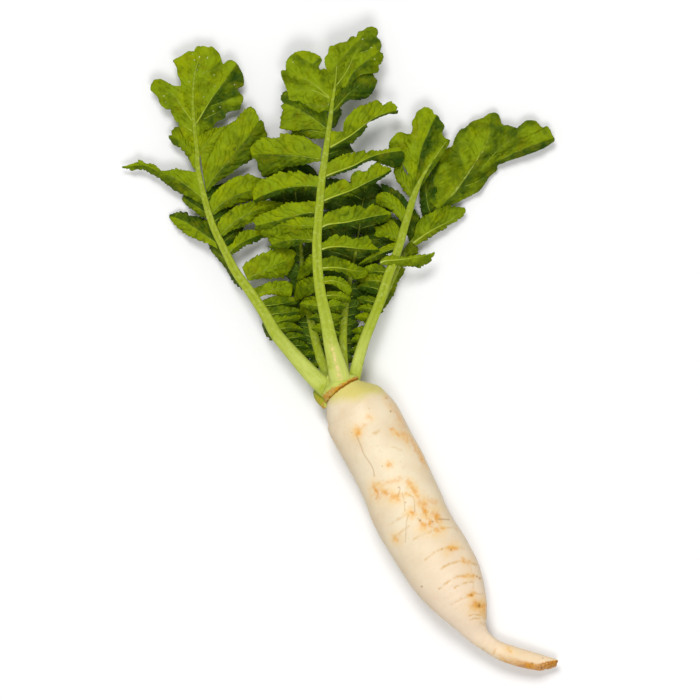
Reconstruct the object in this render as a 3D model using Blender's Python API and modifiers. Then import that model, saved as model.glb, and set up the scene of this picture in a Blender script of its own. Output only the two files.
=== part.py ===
"""A daikon, the long white radish, lying on its side with its leafy top.

Metres, +Z up. The root lies along Y with its tip towards -Y, and the origin is
the middle of the small flat on which it rests.

Plan points are read on a square grid of 0.75 mm steps laid over the root and its
leaves, x to the right and y down. The function plan() turns them into metres.
Heights and radii are in millimetres.
"""

import bpy
import bmesh
import numpy as np

STEP = 0.00075
MM = 0.001
REST_POINT = (399.0, 490.0)
GRID_TURN = np.radians(-32.0)

ROOT_SIDES = 24
ROOT_RINGS = 33
NODE_GAP = 0.3
BLADE_THICK = 1.5
BLADE_SHARE = 0.44
STALK_SIDES_RES = 1
VEIN_RADII = (1.1, 0.5)
WIDE_LEAFLET = 14
WELD = 5e-7
# Leaves with sheets so close together that only the manifold solver joins them.
CLOSE_SHEETS = ("leaf_right", "leaf_far_right")
SEED = 7

# Root: x, y, height of the centre and radius, in millimetres, from the crown to the tip.
ROOT_LINE = [
    (2.0, 88.5, 26.4, 10.0),
    (2.4, 86.5, 26.4, 14.5),
    (2.9, 84.0, 26.3, 16.8),
    (4.4, 80.0, 26.2, 19.4),
    (5.0, 75.0, 26.1, 22.4),
    (5.0, 69.0, 26.0, 25.0),
    (4.8, 62.5, 25.9, 26.6),
    (4.8, 55.0, 25.8, 27.3),
    (4.4, 45.0, 25.7, 27.1),
    (3.7, 34.0, 25.7, 26.9),
    (2.5, 17.0, 25.7, 27.3),
    (0.4, 0.0, 25.7, 27.1),
    (-1.6, -12.0, 25.7, 27.6),
    (-3.3, -24.0, 25.7, 27.2),
    (-4.1, -38.0, 25.7, 27.1),
    (-3.9, -52.0, 25.7, 27.5),
    (-3.9, -62.0, 25.6, 27.1),
    (-3.7, -71.0, 25.4, 26.1),
    (-3.8, -79.0, 25.1, 24.8),
    (-4.2, -87.0, 24.7, 22.7),
    (-4.7, -95.0, 24.2, 20.1),
    (-5.4, -103.0, 23.5, 17.1),
    (-6.5, -111.0, 22.6, 13.5),
    (-7.3, -118.0, 21.6, 10.1),
    (-6.7, -126.0, 20.4, 7.6),
    (-3.3, -135.7, 18.8, 6.5),
    (1.8, -144.5, 17.2, 6.9),
    (12.2, -156.6, 15.0, 6.8),
    (22.3, -167.0, 13.0, 6.0),
    (28.4, -172.4, 12.0, 4.9),
    (31.2, -174.6, 11.6, 3.8),
]

# Stalks: plan x, plan y, height and radius along each leaf, from the crown outwards.
STALKS = {
    "leaf_left": [
        (336, 403, 25.5, 5.3), (325, 389, 26, 5.4), (308, 376, 26, 5.3), (293, 357, 25, 4.8),
        (277, 335, 24, 4.2), (266, 316, 23, 3.6), (251, 293, 21.5, 3.4), (236, 272, 20, 3.2),
        (224, 249, 19, 3.0), (213, 226, 18, 2.9), (205, 200, 17, 2.7), (198, 169, 16, 2.3),
        (197, 150, 16, 2.0), (193, 110, 17, 1.5), (194, 80, 17, 1.0), (199, 56, 15, 0.7),
    ],
    "leaf_middle": [
        (345, 397, 34.5, 6.4), (338, 379, 37.5, 6.2), (333, 360, 40, 5.4), (330, 341, 41, 4.7),
        (326, 318, 41.5, 4.1), (321, 295, 41.5, 3.7), (318, 272, 41, 3.5), (317, 246, 40, 3.4),
        (318, 226, 39.5, 3.3), (320, 202, 38.5, 3.2), (322, 179, 37, 3.1), (326, 151, 35, 2.7),
        (329, 129, 33.5, 2.3), (332, 106, 31.5, 1.8), (335, 86, 30, 1.3), (337, 66, 28.5, 0.7),
    ],
    "leaf_right": [
        (355, 391, 26.5, 5.1), (355, 373, 27, 5.1), (360, 352, 27, 4.6), (367, 332, 26.5, 4.2),
        (375, 314, 25.5, 3.8), (382, 295, 25, 3.6), (388, 276, 24, 3.5), (394, 261, 23.5, 3.3),
        (400, 243, 22.5, 3.1), (405, 225, 22, 2.9), (409, 212, 21.5, 2.7), (415, 193, 21, 2.3),
        (424, 174, 20.5, 1.9), (436, 156, 20, 1.4), (446, 142, 19, 0.8),
    ],
    "leaf_far_right": [
        (354, 392, 17, 3.8), (357, 370, 15.5, 3.8), (364, 345, 14, 3.4), (374, 318, 12.5, 3.2),
        (388, 286, 11, 3.0), (402, 258, 9.5, 2.7), (418, 235, 8.5, 2.4), (438, 209, 8, 2.1),
        (455, 191, 8, 1.8), (471, 169, 9, 1.5), (486, 145, 11.5, 1.1), (490, 122, 9, 0.7),
    ],
    "leaf_inner_left": [
        (340, 400, 18, 3.0), (331, 383, 17, 3.0), (321, 362, 15.5, 2.8), (316, 346, 14, 2.6),
        (310, 321, 11, 2.4), (306, 300, 9, 2.2), (303, 275, 7.5, 2.0), (301, 250, 6.5, 1.7),
        (299, 225, 6, 1.3), (296, 200, 6.5, 0.9), (293, 172, 5, 0.6),
    ],
    "leaf_inner_right": [
        (346, 397, 23.5, 3.0), (346, 378, 22.5, 2.9), (345, 362, 21, 2.7), (344, 345, 18.5, 2.5),
        (344, 325, 15.5, 2.3), (346, 303, 12.5, 2.1), (350, 280, 10, 1.9), (355, 255, 8, 1.6),
        (359, 230, 7, 1.2), (362, 208, 7, 0.9), (365, 190, 5.5, 0.6),
    ],
    "leaf_stub": [
        (333, 408, 18.5, 2.6), (325, 400, 18, 2.6), (319, 394, 17, 2.2), (316, 391, 16.5, 1.2),
    ],
}

# Leaflets: foot x, y on the stalk; tip x, y and height; width beyond and before the rib,
# in grid steps; droop of each of those halves in degrees; sideways bow of the rib in steps;
# where along its length the leaflet is widest.
LEAFLETS = {
    "leaf_left": [
        (197, 159, 170, 133, 12, 10, 9, 10, 25, 0, 0.62),
        (204, 193, 121, 166, 8, 13, 9, 25, 35, 2, 0.22),
        (208, 213, 178, 194, 4, 8, 8, 25, 40, 0, 0.5),
        (214, 242, 170, 218, 3, 12, 13, 25, 15, 2, 0.55),
        (229, 262, 209, 246, 6, 6, 6, 30, 50, 0, 0.5),
        (240, 282, 222, 262, 7, 6, 6, 30, 50, 0, 0.5),
        (276, 333, 262, 318, 13, 4, 5, 30, 50, 0, 0.5),
        (198, 164, 226, 132, 14, 11, 12, 5, 20, 0, 0.55),
        (206, 188, 259, 114, 15, 25, 17, 5, 20, -3, 0.66),
        (213, 213, 276, 184, 12, 18, 14, 12, 55, 3, 0.55),
        (222, 235, 282, 203, 11, 16, 12, 15, 50, 3, 0.55),
        (231, 254, 282, 232, 11, 13, 9, 15, 45, 2, 0.55),
        (247, 281, 295, 255, 12, 15, 12, 10, 25, 2, 0.6),
        (256, 295, 292, 283, 14, 8, 8, 15, 40, 1, 0.6),
    ],
    "leaf_middle": [
        (333, 112, 375, 84, 20, 11, 12, 30, 35, 4, 0.7),
        (328, 129, 279, 108, 22, 14, 25, 10, 25, 3, 0.66),
        (322, 161, 252, 155, 26, 22, 20, 8, 35, 2, 0.45),
        (319, 186, 250, 203, 25, 17, 15, 12, 55, 5, 0.5),
        (318, 210, 262, 213, 26, 13, 14, 12, 50, 2, 0.55),
        (317, 224, 260, 226, 26, 12, 13, 15, 50, 0, 0.6),
        (317, 240, 266, 240, 27, 12, 13, 15, 50, 0, 0.6),
        (329, 147, 397, 109, 23, 17, 11, 12, 50, 3, 0.55),
        (326, 174, 401, 154, 25.5, 13, 14, 15, 50, 4, 0.6),
        (323, 200, 391, 167, 26, 16, 15, 12, 55, -1, 0.55),
        (319, 226, 388, 217, 26.5, 14, 15, 12, 52, 2, 0.6),
        (318, 249, 378, 250, 27, 14, 14, 15, 52, 2, 0.55),
        (319, 269, 369, 272, 28, 12, 11, 15, 48, 1, 0.55),
    ],
    "leaf_right": [
        (413, 197, 394, 165, 15, 11, 12, 15, 25, 0, 0.65),
        (406, 222, 366, 198, 14, 13, 14, 12, 35, 2, 0.6),
        (401, 241, 362, 230, 14, 12, 13, 15, 40, 2, 0.6),
        (395, 257, 356, 266, 14, 10, 11, 20, 40, 3, 0.5),
        (391, 264, 435, 254, 17, 5, 12, 30, 42, -2, 0.6),
    ],
    "leaf_far_right": [
        (412, 245, 467, 207, 9, 27, 5, 5, 50, -3, 0.50),
        (432, 216, 424, 176, 8, 14, 12, 10, 15, 0, 0.6),
        (417, 238, 404, 206, 7, 11, 10, 10, 15, 0, 0.6),
        (397, 268, 407, 254, 7, 8, 8, 20, 45, 0, 0.5),
        (388, 286, 399, 274, 6, 8, 8, 20, 45, 0, 0.5),
        (378, 308, 390, 295, 6, 7, 8, 20, 45, 0, 0.5),
    ],
    "leaf_inner_left": [
        (300, 236, 268, 224, 4, 14, 12, 8, 12, 1, 0.6),
        (301, 240, 318, 222, 4, 10, 9, 8, 12, 1, 0.6),
    ],
    "leaf_inner_right": [
        (357, 246, 326, 234, 4, 12, 13, 10, 20, 1, 0.6),
        (357, 246, 382, 230, 4, 12, 12, 10, 20, 1, 0.6),
    ],
    "leaf_stub": [],
}

# Small leaflets by rule: first and last point on the stalk (plan y), how many a side,
# their first and last length in steps, height lost from foot to tip, and which sides.
SMALL_LEAFLETS = {
    "leaf_left": [(308, 366, 6, 36, 15, 9, (-1,))],
    "leaf_middle": [(256, 356, 9, 36, 13, 9, (1,)), (286, 356, 7, 30, 12, 9, (-1,))],
    "leaf_right": [(282, 346, 5, 28, 12, 9, (1,))],
    "leaf_far_right": [],
    "leaf_inner_left": [(262, 346, 6, 29, 14, 2.5, (1,)), (262, 340, 5, 20, 11, 2.5, (-1,))],
    "leaf_inner_right": [(262, 346, 6, 24, 11, 4, (1,)), (268, 346, 6, 22, 12, 4, (-1,))],
    "leaf_stub": [],
}

# End blades: middle point; edge points in order; veins as x, y and height, each with how
# steeply the blade falls away from it.
END_BLADES = {
    "leaf_left": [
        dict(
            middle=(200, 105),
            edge=[
                (195, 169), (187, 153), (183, 138), (177, 122), (169, 109), (158, 99),
                (151, 87), (154, 80), (161, 78), (171, 83), (181, 86), (178, 73), (174, 60),
                (189, 51), (197, 46), (212, 47), (220, 54), (223, 64), (231, 59), (238, 63),
                (244, 76), (244, 86), (237, 91), (243, 97), (240, 108), (229, 111),
                (224, 119), (214, 124), (205, 134), (201, 152),
            ],
            veins=[
                ([(198, 169, 16), (196, 132, 16.5), (193, 110, 17), (194, 80, 17), (199, 50, 14)], 0.10),
                ([(196, 124, 16.5), (215, 98, 18), (238, 68, 17)], 0.35),
                ([(193, 112, 17), (176, 97, 16), (153, 84, 12)], 0.15),
            ],
        )
    ],
    "leaf_middle": [
        dict(
            middle=(350, 62),
            edge=[
                (331, 113), (330, 95), (329, 80), (326, 70), (324, 62), (328, 52), (330, 47),
                (339, 44), (347, 42), (353, 36), (359, 31), (370, 27), (377, 31), (381, 45),
                (384, 57), (379, 65), (378, 71), (368, 75), (357, 83), (347, 94), (337, 113),
            ],
            veins=[
                ([(333, 112, 29.5), (335, 86, 28.5), (337, 65, 27)], 0.12),
                ([(334, 95, 29), (348, 66, 28), (369, 32, 23)], 0.30),
            ],
        ),
        dict(
            middle=(309, 86),
            edge=[
                (331, 112), (314, 116), (307, 110), (296, 109), (288, 99), (284, 87),
                (281, 71), (287, 69), (287, 60), (294, 52), (305, 51), (316, 54), (322, 61),
                (320, 69), (325, 72), (331, 80), (333, 96),
            ],
            veins=[
                ([(333, 108, 29.5), (322, 84, 28), (311, 72, 26), (290, 62, 22)], 0.18),
                ([(333, 108, 29.5), (312, 98, 27), (288, 88, 22)], 0.10),
            ],
        ),
    ],
    "leaf_right": [
        dict(
            middle=(419, 147),
            edge=[
                (415, 190), (408, 173), (396, 160), (389, 149), (389, 142), (394, 135),
                (400, 131), (411, 133), (412, 123), (417, 114), (425, 107), (433, 112),
                (439, 116), (444, 126), (443, 134), (449, 141), (441, 157), (431, 171),
                (421, 187),
            ],
            veins=[
                ([(414, 192, 20.5), (424, 174, 20.5), (436, 156, 20), (447, 141, 18)], 0.10),
                ([(412, 180, 17), (400, 160, 18), (395, 143, 15)], 0.15),
                ([(418, 176, 15), (421, 148, 13), (424, 128, 13)], -0.30),
                ([(418, 140, 18), (424, 112, 17)], 0.20),
            ],
        )
    ],
    "leaf_far_right": [
        dict(
            middle=(486, 155),
            edge=[
                (440, 210), (429, 200), (427, 182), (434, 161), (449, 146), (457, 135),
                (471, 122), (479, 118), (486, 114), (494, 112), (499, 116), (502, 124),
                (516, 129), (521, 126), (528, 121), (538, 123), (546, 127), (552, 134),
                (554, 140), (543, 147), (520, 155), (498, 165), (497, 170), (486, 182),
                (478, 193), (462, 201), (446, 208),
            ],
            veins=[
                ([(440, 208, 8), (455, 191, 8), (471, 169, 9), (487, 143, 12), (490, 118, 8)], 0.10),
                ([(470, 171, 9), (505, 148, 13), (550, 133, 11)], 0.22),
                ([(455, 190, 8), (450, 170, 9), (456, 142, 6)], 0.10),
                ([(458, 188, 8), (478, 182, 6), (492, 170, 4)], 0.10),
            ],
        )
    ],
    "leaf_inner_left": [
        dict(
            middle=(292, 192),
            edge=[
                (299, 222), (287, 214), (276, 207), (268, 195), (266, 181), (272, 170),
                (284, 164), (299, 162), (312, 167), (318, 178), (316, 192), (310, 206),
                (302, 219),
            ],
            veins=[([(299, 224, 6), (296, 200, 7), (292, 166, 4)], 0.10)],
        )
    ],
    "leaf_inner_right": [
        dict(
            middle=(362, 200),
            edge=[
                (360, 226), (347, 219), (332, 210), (331, 197), (344, 188), (358, 184),
                (371, 181), (381, 187), (385, 198), (380, 210), (370, 220),
            ],
            veins=[([(359, 228, 7), (363, 205, 7), (366, 184, 4)], 0.10)],
        )
    ],
}

LEAF_COLOURS = {
    "leaf_left": (0.22, 0.36, 0.03),
    "leaf_middle": (0.24, 0.38, 0.04),
    "leaf_right": (0.20, 0.34, 0.03),
    "leaf_far_right": (0.17, 0.30, 0.02),
    "leaf_inner_left": (0.12, 0.22, 0.02),
    "leaf_inner_right": (0.12, 0.22, 0.02),
    "leaf_stub": (0.14, 0.24, 0.03),
}
ROOT_COLOUR = (0.87, 0.80, 0.62)


def clear_scene():
    for obj in list(bpy.data.objects):
        bpy.data.objects.remove(obj, do_unlink=True)


def plan(points):
    """Grid points as metres in the plan, turned so that the root lies along Y."""
    away = (np.asarray(points, float) - REST_POINT) * (STEP, -STEP)
    c, s = np.cos(GRID_TURN), np.sin(GRID_TURN)
    return away @ np.array([[c, s], [-s, c]])


def smooth_line(points, count):
    """A curve of `count` evenly spaced points through the given ones (Catmull-Rom)."""
    p = np.asarray(points, float)
    p = np.vstack([2 * p[0] - p[1], p, 2 * p[-1] - p[-2]])
    t = np.linspace(0, len(p) - 3, 16 * (len(p) - 3) + 1)
    i = np.minimum(t.astype(int), len(p) - 4)
    f = (t - i)[:, None]
    a, b, c, d = p[i], p[i + 1], p[i + 2], p[i + 3]
    line = b + 0.5 * f * (c - a + f * (2 * a - 5 * b + 4 * c - d + f * (3 * (b - c) + d - a)))
    run = np.r_[0, np.cumsum(np.linalg.norm(np.diff(line[:, :3], axis=0), axis=1))]
    at = np.linspace(0, run[-1], count)
    return np.stack([np.interp(at, run, column) for column in line.T], axis=1)


def plan_line(points, count):
    """x, y, z and radius in metres along a stalk or vein given on the grid."""
    p = np.asarray(points, float)
    return smooth_line(np.hstack([plan(p[:, :2]), p[:, 2:] * MM]), count)


def add_material(name, colour, roughness):
    material = bpy.data.materials.new(name)
    material.use_nodes = True
    shader = material.node_tree.nodes["Principled BSDF"]
    shader.inputs["Base Color"].default_value = (*colour, 1.0)
    shader.inputs["Roughness"].default_value = roughness
    shader.inputs["Metallic"].default_value = 0.0
    return material


def mesh_object(name, mesh, collection):
    obj = bpy.data.objects.new(name, mesh)
    collection.objects.link(obj)
    return obj


def tube(name, line, collection, sides_res):
    """A tapering round solid along a line of x, y, z and radius, with both ends closed."""
    curve = bpy.data.curves.new(name, "CURVE")
    curve.dimensions = "3D"
    curve.bevel_depth = 1.0
    curve.bevel_resolution = sides_res
    curve.use_fill_caps = True
    spline = curve.splines.new("POLY")
    spline.points.add(len(line) - 1)
    spline.points.foreach_set("co", np.c_[line[:, :3], np.ones(len(line))].ravel())
    spline.points.foreach_set("radius", line[:, 3])
    guide = mesh_object(name + "_guide", curve, collection)
    graph = bpy.context.evaluated_depsgraph_get()
    mesh = bpy.data.meshes.new_from_object(guide.evaluated_get(graph))
    bpy.data.objects.remove(guide)
    welded = bmesh.new()
    welded.from_mesh(mesh)
    bmesh.ops.remove_doubles(welded, verts=welded.verts, dist=1e-6)
    bmesh.ops.recalc_face_normals(welded, faces=welded.faces)
    welded.to_mesh(mesh)
    welded.free()
    return mesh_object(name, mesh, collection)


def grid_faces(rows, columns):
    """Four-cornered faces between neighbouring points of a rows x columns grid."""
    index = np.arange(rows * columns).reshape(rows, columns)
    corners = index[:-1, :-1], index[1:, :-1], index[1:, 1:], index[:-1, 1:]
    return np.stack(corners, axis=-1).reshape(-1, 4).tolist()


def blade_solid(name, points, faces, thickness, collection):
    """A thin solid round an open sheet. The thickness of each point is a share of BLADE_THICK."""
    mesh = bpy.data.meshes.new(name)
    mesh.from_pydata(points.tolist(), [], faces)
    obj = mesh_object(name, mesh, collection)
    group = obj.vertex_groups.new(name="thick")
    for share in np.unique(thickness):
        group.add(np.flatnonzero(thickness == share).tolist(), float(share), "REPLACE")
    obj.modifiers.new("triangles", "TRIANGULATE")
    solid = obj.modifiers.new("solid", "SOLIDIFY")
    solid.thickness = BLADE_THICK * MM
    solid.offset = 0.0
    solid.vertex_group = "thick"
    return obj


def leaflet_width(along, widest):
    """Share of the full width along a leaflet: a narrow foot and a blunt, rounded tip."""
    rise = np.sin(0.5 * np.pi * np.clip(along / widest, 0, 1))
    fall = np.clip((along - widest) / (1 - widest), 0, 1)
    return (0.42 + 0.58 * rise) * np.sqrt(1 - 0.90 * fall**2.5)


def leaflet_sheet(stalk, row, steps, across, phase):
    """Points of a leaflet: two halves that droop from a rib, with a notched, waved edge."""
    foot, tip, tip_height = row[0:2], row[2:4], row[4]
    beyond, before, droop_beyond, droop_before, bow, widest = row[5:]
    start = stalk[np.argmin(np.linalg.norm(stalk[:, :2] - plan(foot), axis=1))]
    chord = plan(tip) - start[:2]
    length = np.linalg.norm(chord)
    side = np.array([-chord[1], chord[0]]) / length
    outward = stalk[-1, :2] - stalk[0, :2]
    if side @ outward < 0:
        side = -side
    s = np.linspace(0, 1, steps + 1)
    arch = 4 * s * (1 - s)
    rib = start[:2] + np.outer(s, chord) + np.outer(arch * bow * STEP, side)
    height = start[2] + s * (tip_height * MM - start[2]) + 0.06 * length * arch
    turn = np.gradient(rib, axis=0)
    turn /= np.linalg.norm(turn, axis=1, keepdims=True)
    normal = np.stack([-turn[:, 1], turn[:, 0]], axis=1)
    normal *= np.sign(normal @ side)[:, None]
    u = np.linspace(-1, 1, 2 * across + 1)[None, :]
    width = np.where(u > 0, beyond, before) * STEP * np.abs(u)
    notch = 1 + 0.10 * np.cos(np.pi * np.arange(steps + 1))[:, None] * u**2
    width = width * leaflet_width(s, widest)[:, None] * notch
    droop = np.radians(np.where(u > 0, droop_beyond, droop_before)) * (0.75 + 0.35 * np.abs(u))
    sideways = np.sign(u) * width * np.cos(droop)
    forward = 0.30 * width * (1 - s[:, None])
    wave = 0.9 * MM * u**2 * np.sin(2 * np.pi * (2.2 * s[:, None] + phase + 0.25 * np.sign(u)))
    points = np.empty((steps + 1, 2 * across + 1, 3))
    points[..., :2] = (
        rib[:, None] + sideways[..., None] * normal[:, None] + forward[..., None] * turn[:, None]
    )
    points[..., 2] = height[:, None] - width * np.sin(droop) + wave * np.sin(np.pi * s)[:, None]
    share = np.where(np.abs(u) < 0.01, 1 - (1 - BLADE_SHARE) * s[:, None], BLADE_SHARE)
    return points.reshape(-1, 3), share.ravel()


def add_leaflet(name, stalk, row, steps, across, phase, collection):
    points, share = leaflet_sheet(stalk, row, steps, across, phase)
    faces = grid_faces(steps + 1, 2 * across + 1)
    return blade_solid(name, points, faces, share, collection)


def small_rows(stalk_grid, rule, draw):
    """Rows for the small leaflets that follow one another down a stalk."""
    first, last, count, long, short, drop, sides = rule
    line = smooth_line(stalk_grid, 200)
    line = line[np.argsort(line[:, 1])]
    rows = []
    for side in sides:
        for share in np.linspace(0, 1, count):
            at = first + share * (last - first) + draw.uniform(-1.5, 1.5)
            x, height = np.interp(at, line[:, 1], line[:, 0]), np.interp(at, line[:, 1], line[:, 2])
            length = (long + share * (short - long)) * draw.uniform(0.88, 1.1)
            rise = draw.uniform(-0.10, 0.22) * length
            width = 0.28 * length + draw.uniform(1.8, 3.0)
            rows.append(
                (x, at, x - side * length, at - rise, height - drop * draw.uniform(0.8, 1.1),
                 width, width, 18, 38, draw.uniform(-1, 2), 0.55)
            )
    return rows


def vein_heights(points, veins):
    """Height of the blade: each vein's own height less its fall, blended by nearness."""
    total, weights = 0, 0
    for vein, fall in veins:
        line = plan_line(vein, 40)
        gap = np.linalg.norm(points[:, None] - line[None, :, :2], axis=2)
        nearest = gap.argmin(axis=1)
        gap = gap.min(axis=1)
        weight = 1 / (gap**2 + (0.8 * MM) ** 2)
        total = total + weight * (line[nearest, 2] - fall * gap)
        weights = weights + weight
    return total / weights


def add_end_blade(name, blade, rings, collection):
    """The lobed blade at the end of a leaf: rings of points from its middle to its edge."""
    middle, edge = plan([blade["middle"]])[0], plan(blade["edge"])
    share = np.linspace(0, 1, rings + 1)[1:]
    flat = [middle[None]] + [middle + (edge - middle) * part for part in share]
    flat = np.vstack(flat)
    points = np.c_[flat, vein_heights(flat, blade["veins"])]
    count = len(edge)
    around = np.arange(count)
    after = (around + 1) % count
    faces = [(0, 1 + a, 1 + b) for a, b in zip(around, after)]
    for ring in range(rings - 1):
        low, high = 1 + ring * count, 1 + (ring + 1) * count
        faces += [(low + a, high + a, high + b, low + b) for a, b in zip(around, after)]
    return blade_solid(name, points, faces, np.full(len(points), BLADE_SHARE), collection)


def add_veins(name, veins, collection):
    """Slim ribs along the lobes. The first vein is the stalk's own end, so it adds none."""
    for number, (vein, _) in enumerate(veins[1:]):
        thick = np.linspace(*VEIN_RADII, len(vein))
        line = plan_line(np.c_[np.array(vein, float), thick], 5)
        tube(f"{name}_{number}", line, collection, 0)


def apply_modifiers(obj):
    graph = bpy.context.evaluated_depsgraph_get()
    mesh = bpy.data.meshes.new_from_object(obj.evaluated_get(graph))
    obj.modifiers.clear()
    obj.data = mesh


def combine(body, operation, collection, solver="EXACT"):
    """Join the collection's solids to the body, or cut them from it."""
    change = body.modifiers.new(operation, "BOOLEAN")
    change.operation = operation
    change.operand_type = "COLLECTION"
    change.collection = collection
    change.solver = solver
    bpy.context.view_layer.update()
    apply_modifiers(body)


def remove_helpers(collection):
    for obj in list(collection.objects):
        bpy.data.objects.remove(obj, do_unlink=True)
    bpy.data.collections.remove(collection)


def keep_main_body(obj):
    """Drop any loose scrap that a Boolean left beside the main body."""
    shape = bmesh.new()
    shape.from_mesh(obj.data)
    bmesh.ops.remove_doubles(shape, verts=shape.verts, dist=WELD)
    bare = [edge for edge in shape.edges if not edge.link_faces]
    bmesh.ops.delete(shape, geom=bare, context="EDGES")
    shape.verts.ensure_lookup_table()
    left, pieces = set(shape.verts), []
    while left:
        front, piece = [left.pop()], []
        while front:
            vert = front.pop()
            piece.append(vert)
            for edge in vert.link_edges:
                other = edge.other_vert(vert)
                if other in left:
                    left.remove(other)
                    front.append(other)
        pieces.append(piece)
    pieces.sort(key=len)
    for piece in pieces[:-1]:
        bmesh.ops.delete(shape, geom=piece, context="VERTS")
    bmesh.ops.triangulate(shape, faces=shape.faces)
    shape.to_mesh(obj.data)
    shape.free()


def finish(obj, material):
    obj.data.materials.clear()
    obj.data.materials.append(material)
    obj.data.polygons.foreach_set("use_smooth", np.ones(len(obj.data.polygons), bool))
    obj.data.update()


def root_body(name, collection, grow):
    """The root, swelled by `grow` metres: a lofted taper with a small flat under its belly."""
    line = smooth_line(np.array(ROOT_LINE) * MM, ROOT_RINGS)
    line[:, 3] += grow
    line[0, 1] += grow
    line[-1, :2] += grow * np.array([0.8, -0.6])
    body = tube(name, line, collection, (ROOT_SIDES - 4) // 2)
    helpers = bpy.data.collections.new(name + "_cutter")
    bpy.context.scene.collection.children.link(helpers)
    bpy.ops.mesh.primitive_cube_add(size=0.6, location=(0, 0, -0.3 - grow))
    floor = bpy.context.active_object
    for owner in list(floor.users_collection):
        owner.objects.unlink(floor)
    helpers.objects.link(floor)
    floor.hide_render = True
    floor.display_type = "WIRE"
    combine(body, "DIFFERENCE", helpers)
    remove_helpers(helpers)
    return body


def build_root(collection):
    root = root_body("root", collection, 0.0)
    finish(root, add_material("root_skin", ROOT_COLOUR, 0.5))
    return root


def build_leaf(name, collection, draw):
    """One leaf: stalk, leaflets and end blade, fused, and trimmed clear of the root."""
    grid = STALKS[name]
    stalk = plan_line(grid, 13 if len(grid) > 6 else 5)
    fine = plan_line(grid, 120)
    helpers = bpy.data.collections.new(name + "_pieces")
    bpy.context.scene.collection.children.link(helpers)
    body = tube(name, stalk, collection, STALK_SIDES_RES)
    rows = LEAFLETS[name]
    for number, row in enumerate(rows):
        across = 2 if max(row[5:7]) >= WIDE_LEAFLET else 1
        add_leaflet(f"{name}_leaflet_{number}", fine, row, 6, across, 0.37 * number, helpers)
    small = [row for rule in SMALL_LEAFLETS[name] for row in small_rows(grid, rule, draw)]
    for number, row in enumerate(small):
        add_leaflet(f"{name}_small_{number}", fine, row, 4, 1, 0.37 * number, helpers)
    for number, blade in enumerate(END_BLADES.get(name, [])):
        add_end_blade(f"{name}_end_{number}", blade, 3, helpers)
        add_veins(f"{name}_vein_{number}", blade["veins"], helpers)
    for piece in list(helpers.objects):
        apply_modifiers(piece)
    solver = "MANIFOLD" if name in CLOSE_SHEETS else "EXACT"
    if helpers.objects:
        combine(body, "UNION", helpers, solver)
    remove_helpers(helpers)
    trim = bpy.data.collections.new(name + "_trim")
    bpy.context.scene.collection.children.link(trim)
    root_body(name + "_trimmer", trim, NODE_GAP * MM)
    combine(body, "DIFFERENCE", trim, solver)
    remove_helpers(trim)
    keep_main_body(body)
    finish(body, add_material(name + "_green", LEAF_COLOURS[name], 0.55))
    return body


def main():
    clear_scene()
    collection = bpy.data.collections.new("daikon")
    bpy.context.scene.collection.children.link(collection)
    draw = np.random.default_rng(SEED)
    build_root(collection)
    for name in STALKS:
        build_leaf(name, collection, draw)


main()
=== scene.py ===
# %% [markdown]
# # A daikon with its leaves, lying on a pale table
# A daikon is a long white radish: a juicy root that tapers to a thin tail, and a fan of soft
# leaves on pale stalks. The solid model gives the sizes. This script gives the looks: skin with
# scars and hairlines, stalks with a channel, and thin puckered leaves with veins and teeth.
# The first cell loads the solid model as a fixed frame and keeps its box.

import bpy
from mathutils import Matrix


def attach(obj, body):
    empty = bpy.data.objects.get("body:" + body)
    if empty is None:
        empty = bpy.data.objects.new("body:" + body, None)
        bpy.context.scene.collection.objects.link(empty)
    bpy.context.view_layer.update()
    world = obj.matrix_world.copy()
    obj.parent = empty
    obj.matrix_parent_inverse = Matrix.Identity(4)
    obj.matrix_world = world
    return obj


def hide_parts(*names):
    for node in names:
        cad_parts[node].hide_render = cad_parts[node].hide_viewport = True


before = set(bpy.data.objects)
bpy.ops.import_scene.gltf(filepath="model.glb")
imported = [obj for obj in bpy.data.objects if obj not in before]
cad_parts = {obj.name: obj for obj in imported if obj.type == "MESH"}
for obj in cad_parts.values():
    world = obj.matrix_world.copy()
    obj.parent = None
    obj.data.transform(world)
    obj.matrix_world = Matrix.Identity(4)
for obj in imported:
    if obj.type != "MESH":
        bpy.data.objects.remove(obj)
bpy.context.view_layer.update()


# %% [markdown]
# ## The grid in which the vegetable was measured
# Points were read on a square grid of 0.75 mm steps laid over it, x to the right and y down.
# The root lies at a slant on that grid. `plan` turns grid points into metres, with the root along
# Y and the origin under its belly, where it rests. The camera later looks along the same grid.

import bpy
import mathutils
import numpy as np

MM = 0.001
STEP = 0.75 * MM
REST_POINT = np.array([399.0, 490.0])
GRID_TURN = np.radians(-32.0)
GRID_RIGHT = np.array([np.cos(GRID_TURN), np.sin(GRID_TURN)])
GRID_UP = np.array([-np.sin(GRID_TURN), np.cos(GRID_TURN)])


def plan(points):
    """Grid points in metres: right of the rest point along GRID_RIGHT, above it along GRID_UP."""
    away = (np.asarray(points, float) - REST_POINT) * STEP
    return away[..., :1] * GRID_RIGHT - away[..., 1:2] * GRID_UP


def run_along(line):
    """Distance in metres from the start of a line to each of its points, along the line."""
    return np.r_[0, np.cumsum(np.linalg.norm(np.diff(line[:, :3], axis=0), axis=1))]


def even_spacing(line, count):
    """The same curve with `count` points at even steps of its own length."""
    run = run_along(line)
    at = np.linspace(0, run[-1], count)
    return np.stack([np.interp(at, run, column) for column in line.T], axis=1)


def spline(p):
    """A smooth curve from the second point to the last but one (Catmull-Rom, 24 parts a span)."""
    t = np.linspace(0, len(p) - 3, 24 * (len(p) - 3) + 1)
    i = np.minimum(t.astype(int), len(p) - 4)
    f = (t - i)[:, None]
    a, b, c, d = p[i], p[i + 1], p[i + 2], p[i + 3]
    return b + 0.5 * f * (c - a + f * (2 * a - 5 * b + 4 * c - d + f * (3 * (b - c) + d - a)))


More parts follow.
